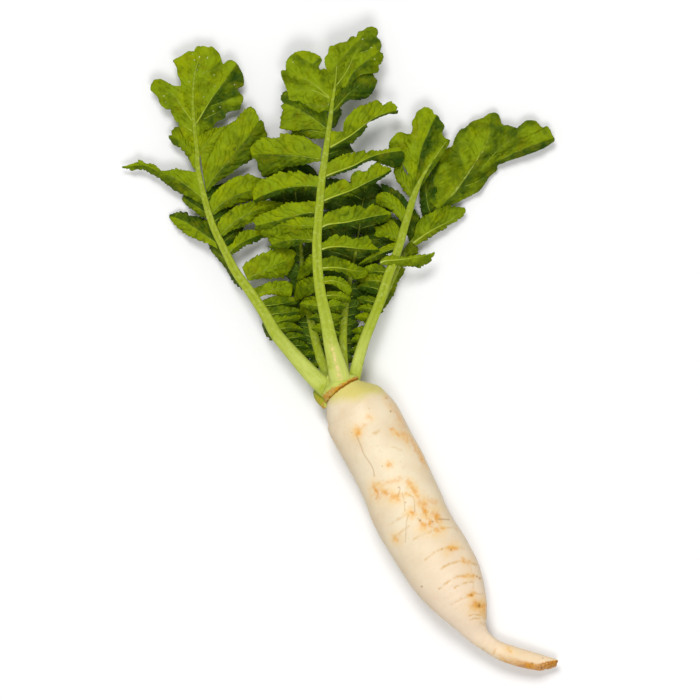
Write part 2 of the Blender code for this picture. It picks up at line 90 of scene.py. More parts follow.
def smooth_line(points, count):
    """An open smooth curve through the points, evenly spaced."""
    p = np.asarray(points, float)
    return even_spacing(spline(np.vstack([2 * p[0] - p[1], p, 2 * p[-1] - p[-2]])), count)


def smooth_loop(points, spacing):
    """A closed smooth outline through the points, about `spacing` metres from point to point."""
    p = np.asarray(points, float)
    line = spline(np.vstack([p[-1:], p, p[:2]]))
    return even_spacing(line, int(run_along(line)[-1] / spacing) + 1)[:-1]


def plan_line(points, count):
    """x, y, z and any radius in metres along a line given on the grid, heights in millimetres."""
    p = np.asarray(points, float)
    return smooth_line(np.hstack([plan(p[:, :2]), p[:, 2:] * MM]), count)


def ripples(x, y, size, seed, waves=7):
    """Unevenness of about -1 to 1: a sum of sine waves, about `size` long, in all directions."""
    draw = np.random.default_rng(seed)
    total = np.zeros(np.broadcast(x, y).shape)
    for turn, stretch, shift in draw.uniform((0, 0.7, 0), (6.28, 1.5, 6.28), (waves, 3)):
        total += np.sin(6.28 * stretch / size * (x * np.cos(turn) + y * np.sin(turn)) + shift)
    return total * np.sqrt(2.0 / waves) * 0.6


def soft_step(value, low, high):
    """0 below low, 1 above high, and a smooth rise between."""
    t = np.clip((value - low) / (high - low), 0, 1)
    return t * t * (3 - 2 * t)


def hill(value, width):
    """1 at zero, and fading to both sides as exp(-(value / width)^2)."""
    return np.exp(-((value / width) ** 2))


print("the rest point lies at", plan(REST_POINT).tolist())

# %% [markdown]
# ## Meshes from arrays
# Every piece here is a sheet or a tube: a grid of points in two directions. The two helpers list
# the faces of such grids, and `mesh_piece` puts points, faces and named point values into a mesh.
# A point value, such as how close a point is to a scar, is later read by the material.

# %% Mesh helpers
def grid_faces(rows, columns):
    """Four-cornered faces between neighbouring points of a rows x columns grid."""
    index = np.arange(rows * columns).reshape(rows, columns)
    corners = index[:-1, :-1], index[:-1, 1:], index[1:, 1:], index[1:, :-1]
    return np.stack(corners, axis=-1).reshape(-1, 4)


def tube_faces(rows, sides):
    """Faces round a tube of rings, and a fan of triangles to a middle point at each end."""
    index = np.arange(rows * sides).reshape(rows, sides)
    after = np.roll(index, -1, axis=1)
    walls = np.stack([index[:-1], after[:-1], after[1:], index[1:]], axis=-1).reshape(-1, 4)
    first, last = np.full(sides, rows * sides), np.full(sides, rows * sides + 1)
    start = np.stack([first, after[0], index[0]], axis=-1)
    end = np.stack([last, index[-1], after[-1]], axis=-1)
    return [*walls.tolist(), *start.tolist(), *end.tolist()]


def tube_points(line, radius, angles):
    """Rings across a line, then its two end points. Angle 0 is up; a ring's radius may vary."""
    run = np.gradient(line[:, :3], axis=0)
    run /= np.linalg.norm(run, axis=1, keepdims=True)
    side = np.cross(run, [0.0, 0.0, 1.0])
    side /= np.linalg.norm(side, axis=1, keepdims=True)
    up = np.cross(side, run)
    cosine, sine = np.cos(angles)[None, :, None], np.sin(angles)[None, :, None]
    ring = cosine * up[:, None] + sine * side[:, None]
    points = line[:, None, :3] + radius[..., None] * ring
    return np.vstack([points.reshape(-1, 3), line[:1, :3], line[-1:, :3]])


def join(parts):
    """One set of points, faces and point values from several."""
    offset, faces = 0, []
    for part in parts:
        faces += [tuple(corner + offset for corner in face) for face in part["faces"]]
        offset += len(part["points"])
    names = parts[0]["values"]
    values = {name: np.concatenate([part["values"][name] for part in parts]) for name in names}
    points = np.vstack([part["points"] for part in parts])
    return {"points": points, "faces": faces, "values": values}


def place(obj):
    """Puts an object into the scene."""
    bpy.context.scene.collection.objects.link(obj)
    return obj


def mesh_piece(name, part, material, node=None, thick=None):
    """A smooth object that rides on the body, may stand for a node, and holds point values."""
    mesh = bpy.data.meshes.new(name)
    mesh.from_pydata(part["points"].tolist(), [], part["faces"])
    for label, numbers in part["values"].items():
        layer = mesh.attributes.new(label, "FLOAT", "POINT")
        layer.data.foreach_set("value", numbers.astype(np.float32))
    mesh.materials.append(material)
    mesh.shade_smooth()
    piece = place(bpy.data.objects.new(name, mesh))
    if thick:
        wall = piece.modifiers.new("thickness", "SOLIDIFY")
        wall.thickness = thick
        wall.offset = 0.0
    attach(piece, "root")
    if node:
        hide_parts(node)
    print(f"{name}: {len(part['points'])} points, {len(part['faces'])} faces")


# %% [markdown]
# ## Node helper for materials
# A material is a small network of nodes. Written with plain Blender calls each node takes several
# lines, so `add` makes a node, sets its options and fills its inputs in one call. An input that
# is given a socket is linked to it, and any other value is set.

# %% Material helpers
def add(tree, kind, inputs=(), **options):
    """One shader node of a kind, with inputs given as pairs of input name or number and value."""
    node = tree.nodes.new("ShaderNode" + kind)
    for option, value in options.items():
        setattr(node, option, value)
    for key, value in dict(inputs).items():
        if isinstance(value, bpy.types.NodeSocket):
            tree.links.new(value, node.inputs[key])
        else:
            node.inputs[key].default_value = value
    return node


def new_material(name, **settings):
    """An empty material with a Principled shader whose own sockets hold the given settings."""
    material = bpy.data.materials.new(name)
    material.use_nodes = True
    shader = material.node_tree.nodes["Principled BSDF"]
    for label, value in settings.items():
        shader.inputs[label.replace("_", " ")].default_value = value
    return material, material.node_tree, shader


def point_value(tree, name):
    """The number that each mesh point holds under a name."""
    return add(tree, "Attribute", attribute_name=name).outputs["Fac"]


def noise(tree, size, detail=3.0, stretch=(1, 1, 1)):
    """Cloudy noise on the object's own coordinates, with lumps of about `size` metres."""
    where = add(tree, "TexCoord").outputs["Object"]
    scaled = add(tree, "Mapping", {0: where, "Scale": stretch}).outputs[0]
    settings = {"Vector": scaled, "Scale": 0.5 / size, "Detail": detail, "Roughness": 0.55}
    return add(tree, "TexNoise", settings).outputs["Fac"]


def mix(tree, share, first, second):
    """The second colour laid over the first by a share from 0 to 1."""
    return add(tree, "Mix", {0: share, 6: first, 7: second}, data_type="RGBA").outputs[2]


def ramp(tree, value, low, high, start=0.0, end=1.0):
    """A value brought from the span low..high to start..end, and held at its ends."""
    return add(tree, "MapRange", {0: value, 1: low, 2: high, 3: start, 4: end}).outputs[0]


def maths(tree, how, first, second=0.0):
    """One sum on two numbers, such as ADD or MULTIPLY."""
    return add(tree, "Math", {0: first, 1: second}, operation=how).outputs[0]


def bump(tree, shader, height, distance, strength=1.0, below=None):
    """Fine relief from a height of 0 to 1, `distance` metres tall, on top of any bump below it."""
    node = add(tree, "Bump", {"Strength": strength, "Distance": distance, "Height": height})
    if below:
        tree.links.new(below, node.inputs["Normal"])
    tree.links.new(node.outputs[0], shader.inputs["Normal"])
    return node.outputs[0]


def screen(red, green, blue):
    """A colour read off a screen, 0 to 255, as the linear colour that a shader takes."""
    c = np.array([red, green, blue]) / 255.0
    c = np.where(c <= 0.04045, c / 12.92, ((c + 0.055) / 1.055) ** 2.4)
    return (*c.tolist(), 1.0)


# %% [markdown]
# ## The root's shape
# The real root swelled from a taproot, so it is almost round, a little lumpy, and bends where it
# met a stone. It could be a lathe form that is bent later. Here it is a tube along the measured
# middle line, with a radius for each place, because both the bend and the taper were measured.
# Its points are closer together on top, where the marks are seen. The belly is flat where it rests.
# The tail was chopped off with a knife, so its points beyond a slanting plane are brought back to
# it, and a split runs into the dry cut.

# %% Root measurements: x, y, z and radius in millimetres, from the crown to the tail
ROOT_ROWS = 440
ROOT_LINE = [
    (4.4, 87.4, 26.4, 6.0),
    (4.4, 86.8, 26.4, 10.5),
    (4.4, 85.6, 26.4, 13.4),
    (4.4, 84.0, 26.4, 15.4),
    (4.4, 80.0, 26.2, 18.9),
    (4.6, 75.0, 26.1, 22.3),
    (5.0, 69.0, 26.0, 25.0),
    (4.8, 62.5, 25.9, 26.6),
    (4.8, 55.0, 25.8, 27.3),
    (4.4, 45.0, 25.7, 27.1),
    (3.7, 34.0, 25.7, 26.9),
    (2.5, 17.0, 25.7, 27.3),
    (0.4, 0.0, 25.7, 27.1),
    (-1.6, -12.0, 25.7, 27.6),
    (-3.3, -24.0, 25.7, 27.2),
    (-4.1, -38.0, 25.7, 27.1),
    (-3.9, -52.0, 25.7, 27.5),
    (-3.9, -62.0, 25.6, 27.1),
    (-3.7, -71.0, 25.4, 26.1),
    (-3.8, -79.0, 25.1, 24.8),
    (-4.2, -87.0, 24.7, 22.7),
    (-4.7, -95.0, 24.2, 20.1),
    (-5.4, -103.0, 23.5, 17.1),
    (-6.5, -111.0, 22.6, 13.5),
    (-7.3, -118.0, 21.6, 10.1),
    (-6.7, -126.0, 20.4, 7.6),
    (-3.3, -135.7, 18.8, 6.5),
    (1.8, -144.5, 17.2, 6.9),
    (12.2, -156.6, 15.0, 6.8),
    (22.3, -167.0, 13.0, 6.0),
    (28.4, -172.4, 12.0, 4.9),
    (31.2, -174.6, 11.6, 3.8),
]
root_line = smooth_line(np.array(ROOT_LINE) * MM, ROOT_ROWS)
print("root middle line from y", root_line[0, 1].round(4), "to", root_line[-1, 1].round(4))

# %% [markdown]
# ## Marks on the skin
# Soil, stones and side roots leave marks: tan rings across the lower half where fine roots grew,
# orange scuffs, hairline cracks and a few dark pits. They could be painted by hand. Here each is
# a short line of grid points with a width, and a formula fades it: the mark is strong where a skin
# point is nearer to the line than the width. The same numbers sink the mark a little into the skin.

# %% Mark lines: grid points, width in steps, strength
RINGS = [
    ([(388, 525), (397, 519), (406, 513)], 1.0, 0.5),
    ([(394, 537), (401, 531), (408, 525)], 1.1, 0.5),
    ([(413, 538), (424, 533), (432, 530), (440, 527.5), (452, 527), (460, 530)], 0.9, 0.7),
    ([(424, 559), (430, 554), (436, 550), (444, 547), (455, 546), (463, 548)], 0.9, 0.7),
    ([(440, 567.5), (446, 564), (453, 561.5), (461, 560), (467, 561), (476, 564)], 0.9, 0.9),
    ([(438.5, 588), (448, 580), (457, 575.5), (465, 574.5), (473, 574), (480, 578)], 0.9, 0.9),
    ([(454, 586.5), (461, 583), (468, 581), (473, 581)], 0.8, 0.8),
    ([(451, 603.5), (460, 598.5), (467, 595.5), (474, 593), (482, 593)], 0.8, 0.7),
    ([(469, 614.5), (474, 613.5), (480, 614.5), (485, 618)], 0.8, 0.9),
    ([(469.5, 619), (474, 617.5), (481, 617.5)], 0.7, 0.8),
    ([(480, 622), (486, 625)], 0.8, 0.6),
    ([(481, 653), (483, 648)], 0.7, 0.5),
    ([(493, 654), (495.5, 648)], 0.8, 0.6),
    ([(391, 446.5), (396, 447.5), (401, 449.5)], 0.8, 0.5),
    ([(374, 433), (380, 430)], 1.6, 0.5),
    ([(470, 562), (472, 577), (473, 590)], 0.7, 0.45),
]
SCUFFS = [
    ([(357.5, 430), (358, 432.5)], 1.8, 0.9),
    ([(359, 428), (365, 425)], 1.0, 0.4),
    ([(369, 415.5), (370, 417)], 1.5, 0.5),
    ([(391.5, 428.5), (394, 431), (402, 436)], 1.1, 0.7),
    ([(386, 396.5), (386.5, 398)], 1.0, 0.6),
    ([(387.5, 464), (389.5, 464)], 1.5, 0.7),
    ([(376, 486), (377, 491), (377, 497)], 2.0, 0.9),
    ([(383, 491), (389, 494.5), (397, 497)], 2.2, 0.75),
    ([(378, 483), (390, 481), (400, 478)], 1.6, 0.35),
    ([(408, 481), (413, 487), (416.5, 495)], 1.5, 0.7),
    ([(406, 493.5), (409, 493.5)], 1.1, 0.7),
    ([(421, 502), (424, 505), (425, 512)], 2.2, 0.85),
    ([(411, 511.5), (414, 513)], 1.8, 0.9),
    ([(424, 523), (429, 522), (431, 519)], 2.6, 0.9),
    ([(435, 513), (436.5, 519)], 2.6, 0.85),
    ([(436, 528.5), (440, 527.5)], 1.8, 0.9),
    ([(427, 498), (436, 502)], 1.6, 0.4),
    ([(395.5, 537), (396, 539)], 1.6, 0.7),
    ([(449, 548.5), (454, 547)], 1.6, 0.95),
    ([(463, 559), (468, 561.5)], 1.5, 0.7),
    ([(464, 574.5), (472, 575)], 1.4, 0.7),
    ([(470, 594), (474, 593)], 1.5, 0.9),
    ([(475, 604), (480, 605), (486, 611)], 2.8, 1.0),
    ([(508, 648), (509, 649.5)], 1.2, 0.7),
    ([(499, 656), (503, 658)], 1.2, 0.4),
    ([(504, 662), (509, 664)], 1.3, 0.7),
    ([(390, 404), (397, 414), (402, 424)], 2.4, 0.35),
    ([(404, 434), (412, 442), (419, 452), (425, 464)], 2.2, 0.6),
    ([(420, 452), (423, 459)], 1.2, 0.9),
]
CRACKS = [
    ([(356.5, 435), (360.5, 445), (364, 454), (370, 463), (373, 469), (374, 475)], 0.6, 0.9),
    ([(402, 492), (404, 502), (404.5, 510)], 0.45, 0.55),
    ([(409, 494), (413.5, 498), (414.5, 511)], 0.45, 0.6),
    ([(400, 487), (399, 491), (397.5, 495.5)], 0.45, 0.55),
    ([(408, 514), (406, 522), (405.5, 532), (405, 541)], 0.5, 0.6),
    ([(425, 512), (426, 516)], 0.45, 0.5),
    ([(438, 518), (444, 518.5), (449, 519)], 0.5, 0.9),
]
PITS = [
    ((419.5, 519.3), 1.1), ((417.5, 517.5), 0.5), ((398.5, 486.5), 0.7), ((405.3, 501.5), 0.6),
    ((432, 520.5), 0.7), ((441.5, 548), 0.55), ((450.5, 548.5), 0.9), ((471.0, 594), 1.1),
    ((478.7, 604.7), 1.7), ((421.3, 585.5), 0.8), ((418, 593.5), 0.7), ((424.7, 603), 0.9),
    ((382, 465.5), 0.5), ((386, 398), 0.6), ((369, 408), 0.4), ((352, 432), 0.4),
    ((476.5, 575.5), 0.7), ((479.5, 577.5), 0.7), ((450.7, 627), 0.8), ((461, 637), 0.7),
    ((505, 662.5), 0.8), ((532, 663.5), 1.0), ((542.5, 658), 0.6), ((547.5, 662), 1.0),
    ((390.5, 411), 0.8),
]


def near_line(points, line):
    """Distance in metres from each plan point to a short smooth line of grid points."""
    there = smooth_line(plan(line), 24)
    return np.sqrt(((points[:, None] - there[None]) ** 2).sum(axis=2)).min(axis=1)


NEARBY = 35 * MM


def marks(points, upper, lines, spread=1.0):
    """0 to 1 at each skin point: the strongest of the marks, each a hill over its distance."""
    total = np.zeros(len(points))
    seen = np.flatnonzero(upper)
    for line, width, strength in lines:
        middle = plan(line).mean(axis=0)
        close = seen[np.linalg.norm(points[seen] - middle, axis=1) < NEARBY]
        fade = strength * hill(near_line(points[close], line), spread * width * STEP)
        total[close] = np.maximum(total[close], fade)
    return total * upper


print(len(RINGS), "rings,", len(SCUFFS), "scuffs,", len(CRACKS), "cracks and", len(PITS), "pits")

# %% Root surface
ROOT_SIDES = 220
TOP_CROWDING = 0.42
CROWN_LEAN = 3.2 * MM
turn = np.linspace(0, 2 * np.pi, ROOT_SIDES, endpoint=False)
root_angles = turn - TOP_CROWDING * np.sin(turn)
root_radius = root_line[:, 3:4]
along = run_along(root_line)[:, None]
around = np.where(root_angles > np.pi, root_angles - 2 * np.pi, root_angles)
round_skin = root_radius * around[None]
lumps = 0.45 * MM * ripples(along, round_skin, 60 * MM, 3) * np.minimum(root_radius / (20 * MM), 1)
pucker = 0.10 * MM * ripples(along * 2.2, round_skin * 0.6, 14 * MM, 5)
uneven = (lumps + pucker) * (1 - soft_step(np.abs(around), 2.3, 3.1))
root_points = tube_points(root_line, root_radius + uneven, root_angles)
tip_back = CROWN_LEAN * soft_step(root_line[:, 1:2], 74 * MM, 86 * MM) * np.cos(root_angles)
root_points[:-2, 1] += tip_back.ravel()
print("root skin:", len(root_points), "points")

# %% Marks and their dents
centre = np.append(np.repeat(root_line[:, 2], ROOT_SIDES), root_line[[0, -1], 2])
radii = np.append(np.repeat(root_line[:, 3], ROOT_SIDES), root_line[[0, -1], 3])
skin_top = soft_step((root_points[:, 2] - centre) / radii, 0.05, 0.40)
flat = root_points[:, :2]
wobble = [ripples(flat[:, 0], flat[:, 1], 5 * MM, seed) for seed in (31, 32)]
blurred = flat + 0.7 * MM * np.stack(wobble, axis=1)
spots = [([spot, (spot[0] + 0.1, spot[1])], wide, 1.0) for spot, wide in PITS]
root_values = {
    "ring_mark": marks(0.7 * flat + 0.3 * blurred, skin_top, RINGS, 1.2),
    "scuff": marks(blurred, skin_top, SCUFFS, 1.55),
    "halo": marks(blurred, skin_top, SCUFFS, 3.8),
    "crack": marks(flat, skin_top, CRACKS),
    "pit": marks(flat, skin_top, spots),
}
sink = 0.22 * root_values["ring_mark"] + 0.15 * root_values["scuff"]
sink += 0.35 * root_values["crack"] + 0.12 * root_values["pit"]
middle = np.vstack([np.repeat(root_line[:, :3], ROOT_SIDES, axis=0), root_line[[0, -1], :3]])
outward = root_points - middle
outward /= np.maximum(np.linalg.norm(outward, axis=1, keepdims=True), 1e-6)
root_points -= sink[:, None] * MM * outward
root_points[:, 2] = np.maximum(root_points[:, 2], 0.0)
print("deepest dent:", sink.max().round(2), "mm")

# %% Chopped tail
TIP_CUT = np.append(plan((550.0, 668.5)), 9.5 * MM)
TIP_WAY = np.append(0.362 * GRID_RIGHT - 0.769 * GRID_UP, 0.53)
TIP_SPLIT = [(546, 671), (549, 668), (553, 666), (558, 664)]
past_cut = np.where(root_points[:, 1] < -160 * MM, (root_points - TIP_CUT) @ TIP_WAY, -1.0)
past_cut += 0.55 * MM * ripples(flat @ GRID_RIGHT, flat @ GRID_UP, 3.5 * MM, 41)
past_cut += 1.3 * MM * hill(near_line(flat, TIP_SPLIT), 0.9 * MM)
root_points -= np.maximum(past_cut, 0)[:, None] * TIP_WAY
print((past_cut > 0).sum(), "points brought back to the cut")

# %% [markdown]
# ## Where the skin changes
# The shoulder stood in the light and turned yellow-green. The flanks are painted darker than the
# top, as shade, the lower half is a little pinker, and the tail is warm, and brown where it dried
# out. These regions could be painted. Here each is a value from 0 to 1 at every skin point, made of
# smooth steps along the root or round it, so the material only has to lay a colour over it.

# %% Skin regions
shoulder_line = plan((360, 400)) @ GRID_UP
shoulder_edge = shoulder_line + 1.6 * MM * ripples(flat[:, 0], root_points[:, 2], 22 * MM, 11)
up_grid = 0.7 * flat @ GRID_UP + 0.3 * (flat[:, 1] - 76.8 * MM + shoulder_line)
root_values["shoulder"] = 0.82 * soft_step(up_grid - shoulder_edge, -4 * MM, 5 * MM)
level = (root_points[:, 2] - centre) / radii
# Painted shade: the skin is darkened down the sides, below the middle, where less light falls.
root_values["flank_painted_shade"] = 0.55 * (1 - soft_step(level, 0.1, 0.8)) * soft_step(level, -0.9, -0.3)
root_values["blush"] = 0.75 * soft_step(-flat[:, 1], 20 * MM, 110 * MM)
root_values["warm_tail"] = 0.8 * soft_step(-flat[:, 1], 118 * MM, 150 * MM)
tail_along = 1 - soft_step(flat[:, 1], -165 * MM, -144 * MM)
low_side = soft_step(((middle[:, :2] - flat) @ GRID_UP) / radii, 0.02, 0.48)
cut_end = soft_step(past_cut, -0.9 * MM, -0.1 * MM)
root_values["tail"] = np.maximum(tail_along * low_side, cut_end)
split = cut_end * hill(near_line(flat, TIP_SPLIT), 0.7 * MM)
root_values["pit"] = np.maximum(root_values["pit"], 0.9 * split)
print("skin values:", ", ".join(root_values))

# %% [markdown]
# ## The root's colour
# Daikon skin is creamy white and slightly see-through, and warmer where it is dry. The colour is
# laid down like glazes: cream with cloudy warmth, the pinker and warmer parts, the painted shade of
# the flanks, the shoulder's green, the marks, then the brown of the dry tail and the pits. A little
# subsurface light keeps the flesh soft, and a fine bump gives the skin its satin unevenness.

# %% Root material
CREAM = screen(233, 218, 188)
WARM = screen(224, 203, 169)
BLUSH = screen(240, 216, 189)
WARM_TAIL = screen(226, 200, 156)
# Painted shade colour for the flanks
FLANK_PAINTED_SHADE = screen(204, 180, 140)
SHOULDER = screen(208, 196, 88)
TAN = screen(206, 158, 66)
HALO = screen(234, 194, 120)
SCUFF_ORANGE = screen(222, 150, 30)
HAIRLINE = screen(172, 128, 60)
PIT_BROWN = screen(166, 114, 30)
TAIL_DARK = screen(176, 104, 0)
TAIL_BROWN = screen(212, 142, 0)

flesh = {"Subsurface_Weight": 0.12, "Subsurface_Scale": 0.004, "Specular_IOR_Level": 0.3}
skin, tree, shader = new_material("daikon_skin", Roughness=0.45, **flesh)
shader.inputs["Subsurface Radius"].default_value = (1.0, 0.6, 0.35)
clouds = ramp(tree, noise(tree, 16 * MM, 4), 0.42, 0.66)
colour = mix(tree, clouds, CREAM, WARM)
colour = mix(tree, point_value(tree, "blush"), colour, BLUSH)
tail_clouds = ramp(tree, noise(tree, 5 * MM, 4), 0.38, 0.62, 0.4, 1.0)
warm_tail = maths(tree, "MULTIPLY", point_value(tree, "warm_tail"), tail_clouds)
colour = mix(tree, warm_tail, colour, WARM_TAIL)
speckle = ramp(tree, noise(tree, 1.4 * MM, 2), 0.60, 0.75, 0.0, 0.18)
colour = mix(tree, speckle, colour, TAN)
# Painted shade on the flanks
colour = mix(tree, point_value(tree, "flank_painted_shade"), colour, FLANK_PAINTED_SHADE)
colour = mix(tree, point_value(tree, "shoulder"), colour, SHOULDER)
broken = ramp(tree, noise(tree, 1.7 * MM, 4), 0.36, 0.60, 0.15, 1.0)
patchy = ramp(tree, noise(tree, 4.5 * MM, 4), 0.36, 0.60, 0.1, 0.9)
glazes = [("ring_mark", broken, TAN), ("halo", patchy, HALO), ("scuff", broken, SCUFF_ORANGE)]
for label, worn, tint in glazes:
    colour = mix(tree, maths(tree, "MULTIPLY", point_value(tree, label), worn), colour, tint)
colour = mix(tree, point_value(tree, "crack"), colour, HAIRLINE)
browns = mix(tree, ramp(tree, noise(tree, 1.3 * MM, 3), 0.45, 0.65), TAIL_BROWN, TAIL_DARK)
uneven_dry = ramp(tree, patchy, 0.1, 0.9, 0.75, 1.0)
dry_tail = maths(tree, "MULTIPLY", point_value(tree, "tail"), uneven_dry)
colour = mix(tree, dry_tail, colour, browns)
colour = mix(tree, point_value(tree, "pit"), colour, PIT_BROWN)
tree.links.new(colour, shader.inputs["Base Color"])
fine = bump(tree, shader, noise(tree, 0.9 * MM, 3), 0.15 * MM, 0.5)
bump(tree, shader, noise(tree, 6 * MM, 3, stretch=(0.7, 2.0, 1.0)), 0.5 * MM, 0.35, fine)

root_faces = tube_faces(ROOT_ROWS, ROOT_SIDES)
root_part = {"points": root_points, "faces": root_faces, "values": root_values}
mesh_piece("root_flesh", root_part, skin, "root")

# %% [markdown]
# ## The crown
# The stalks stand on a short stem at the top of the root. Their broad bases wrap round it, and
# where they meet the root there is a cracked, corky, orange-brown ring. It could be sculpted. Here
# it is a stubby tube whose radius swells into overlapping bases, and its rings lean, because the
# crown is tipped back a little. Two values mark the corky ring and the dark seam below it.

# %% Crown: x, y, z and radius in millimetres, from inside the root outwards
CROWN_LINE = [
    (4.4, 79.0, 26.4, 11.0),
    (4.4, 82.0, 26.4, 13.6),
    (4.2, 84.5, 26.4, 15.0),
    (4.0, 87.0, 26.4, 15.3),
    (3.8, 90.0, 26.4, 14.3),
    (3.8, 93.0, 26.6, 12.0),
    (3.6, 96.0, 27.0, 9.0),
    (3.4, 98.5, 27.5, 5.5),
    (3.4, 99.5, 27.5, 2.5),
]
CROWN_SIDES = 130
CROWN_ROWS = 56
crown_line = smooth_line(np.array(CROWN_LINE) * MM, CROWN_ROWS)
crown_angles = np.linspace(0, 2 * np.pi, CROWN_SIDES, endpoint=False)
along = crown_line[:, 1:2]
half_turns = np.where(crown_angles > np.pi, crown_angles - 2 * np.pi, crown_angles)[None]
round_crown = 15 * MM * half_turns
overlap = np.abs(np.cos(3.5 * crown_angles + 0.6))[None]
bases = 1.0 * MM * overlap * soft_step(along, 88 * MM, 91 * MM)
ring_half = MM * (1.2 + 2.2 * (0.5 - 0.5 * np.sin(crown_angles[None])) ** 2)
ring = hill(along - 84.5 * MM - ring_half, ring_half)
seam_line = 84.7 * MM + 0.3 * MM * ripples(round_crown, 0, 6 * MM, 22)
seam = hill(along - seam_line, 0.9 * MM)
crust = MM * ring * (0.35 + 0.45 * ripples(round_crown, along, 3 * MM, 21)) - 0.5 * MM * seam
crown_points = tube_points(crown_line, crown_line[:, 3:4] + bases + crust, crown_angles)
crown_points[:-2, 1] += CROWN_LEAN * np.tile(np.cos(crown_angles), CROWN_ROWS)
crown_values = {"ring": np.append(ring, [0, 0]), "seam": np.append(seam, [0, 0])}
crown_faces = tube_faces(CROWN_ROWS, CROWN_SIDES)
crown_part = {"points": crown_points, "faces": crown_faces, "values": crown_values}

# %% Crown material
BASE_GREEN = screen(188, 200, 96)
BASE_YELLOW = screen(158, 172, 24)
BASE_TAN = screen(214, 176, 96)
CORK_BROWN = screen(140, 92, 6)
CORK_ORANGE = screen(194, 136, 30)
CORK_TAN = screen(190, 160, 84)

crown_skin, tree, shader = new_material("crown_skin", Roughness=0.6, Specular_IOR_Level=0.15)
colour = mix(tree, ramp(tree, noise(tree, 3 * MM, 3), 0.4, 0.65, 0.0, 0.7), BASE_GREEN, BASE_YELLOW)
dots = ramp(tree, noise(tree, 1.0 * MM, 2), 0.60, 0.68, 0.0, 0.7)
colour = mix(tree, dots, colour, BASE_TAN)
cork = mix(tree, ramp(tree, noise(tree, 1.5 * MM, 4), 0.42, 0.60), CORK_ORANGE, CORK_TAN)
edge = ramp(tree, noise(tree, 1.8 * MM, 3), 0.35, 0.65, -0.3, 0.3)
share = ramp(tree, maths(tree, "ADD", point_value(tree, "ring"), edge), 0.35, 0.65)
colour = mix(tree, share, colour, cork)
seam_edge = ramp(tree, noise(tree, 1.2 * MM, 3), 0.35, 0.65, -0.25, 0.25)
share = ramp(tree, maths(tree, "ADD", point_value(tree, "seam"), seam_edge), 0.3, 0.7)
colour = mix(tree, share, colour, CORK_BROWN)
tree.links.new(colour, shader.inputs["Base Color"])
bump(tree, shader, noise(tree, 1.2 * MM, 4), 0.5 * MM, 0.8)
mesh_piece("crown_ring", crown_part, crown_skin)

# %% [markdown]
# ## Leaves: the measurements
# A daikon leaf is a long stalk with pairs of leaflets that grow larger towards a lobed end blade.
# Each leaf is given by its stalk, by a row of numbers for each leaflet, by a rule for the many
# small leaflets near the crown, and by the outline and veins of its end blade. Most of these
# numbers also shaped the solid model, so the fine leaves keep its form.

# %% Stalks: grid x, grid y, height and radius in millimetres, from the crown outwards
STALKS = {
    "leaf_left": [
        (336, 400, 25.5, 3.0), (331.5, 394.5, 25.8, 5.6), (326, 388, 26, 7.0), (311, 374, 26, 6.3),
        (293, 354, 25, 5.3), (277, 335, 24, 4.7), (266, 316, 23, 4.1), (251, 293, 21.5, 3.7),
        (236, 272, 20, 3.3), (224, 249, 19, 2.9), (213, 226, 18, 2.65), (205, 200, 17, 2.35),
        (198, 169, 16, 2.0), (197, 150, 16, 1.7), (193, 110, 17, 1.2), (194, 80, 17, 0.8),
        (199, 56, 15, 0.5),
    ],
    "leaf_middle": [
        (345, 396, 26.0, 4.0), (343, 386, 31.0, 6.6), (339.5, 376, 35.5, 7.4), (335, 359, 39, 6.5),
        (330.5, 341, 41, 5.3), (326, 318, 41.5, 4.5), (321, 295, 41.5, 4.0), (318, 272, 41, 3.7),
        (317, 246, 40, 3.5), (318, 226, 39.5, 3.2), (320, 202, 38.5, 3.0), (322, 179, 37, 2.8),
        (326, 151, 35, 2.35), (329, 129, 33.5, 1.95), (332, 106, 31.5, 1.5), (335, 86, 30, 0.9),
        (337, 66, 28.5, 0.4),
    ],
    "leaf_right": [
        (352, 390, 26.0, 3.0), (354.5, 376, 27, 4.5), (360.5, 352, 27, 4.1),
        (367.5, 332, 26.5, 4.0), (375, 314, 25.5, 3.8), (382, 295, 25, 3.6), (388, 276, 24, 3.5),
        (394, 261, 23.5, 3.3), (400, 243, 22.5, 3.1), (405, 225, 22, 2.9), (409, 212, 21.5, 2.7),
        (415, 193, 21, 2.3), (424, 174, 20.5, 1.2), (436, 156, 20, 0.7), (446, 142, 19, 0.35),
    ],
    "leaf_far_right": [
        (354, 392, 17, 3.8), (357, 370, 15.5, 3.8), (364, 345, 14, 3.4), (374, 318, 12.5, 3.2),
        (388, 286, 10, 3.0), (402, 258, 7, 2.6), (418, 235, 5.5, 2.0), (438, 209, 6, 1.5),
        (455, 191, 8, 1.2), (471, 169, 9, 0.8), (486, 145, 11.5, 0.5), (490, 122, 9, 0.3),
    ],
    "leaf_inner_left": [
        (340, 400, 20, 3.8), (331, 383, 19, 3.8), (322, 362, 17, 3.7), (317, 346, 15, 3.4),
        (311, 321, 11.5, 3.0), (306, 300, 9, 2.5), (303, 275, 7.5, 2.0), (301, 250, 6.5, 1.7),
        (299, 225, 6, 1.3), (296, 200, 6.5, 0.9), (293, 172, 5, 0.6),
    ],
    "leaf_inner_right": [
        (346, 397, 23.5, 3.6), (345, 378, 22.5, 3.6), (343.5, 362, 21, 3.5), (343, 345, 18.5, 3.3),
        (343.5, 325, 15.5, 3.0), (346, 303, 12.5, 2.5), (350, 280, 10, 1.9), (355, 255, 8, 1.6),
        (359, 230, 7, 1.2), (362, 208, 7, 0.9), (365, 190, 5.5, 0.6),
    ],
    "leaf_stub": [
        (333, 409, 20.5, 4.6), (326.5, 401.5, 20.5, 5.6), (321, 395.5, 20, 5.4),
        (317, 390, 18, 3.4),
    ],
}
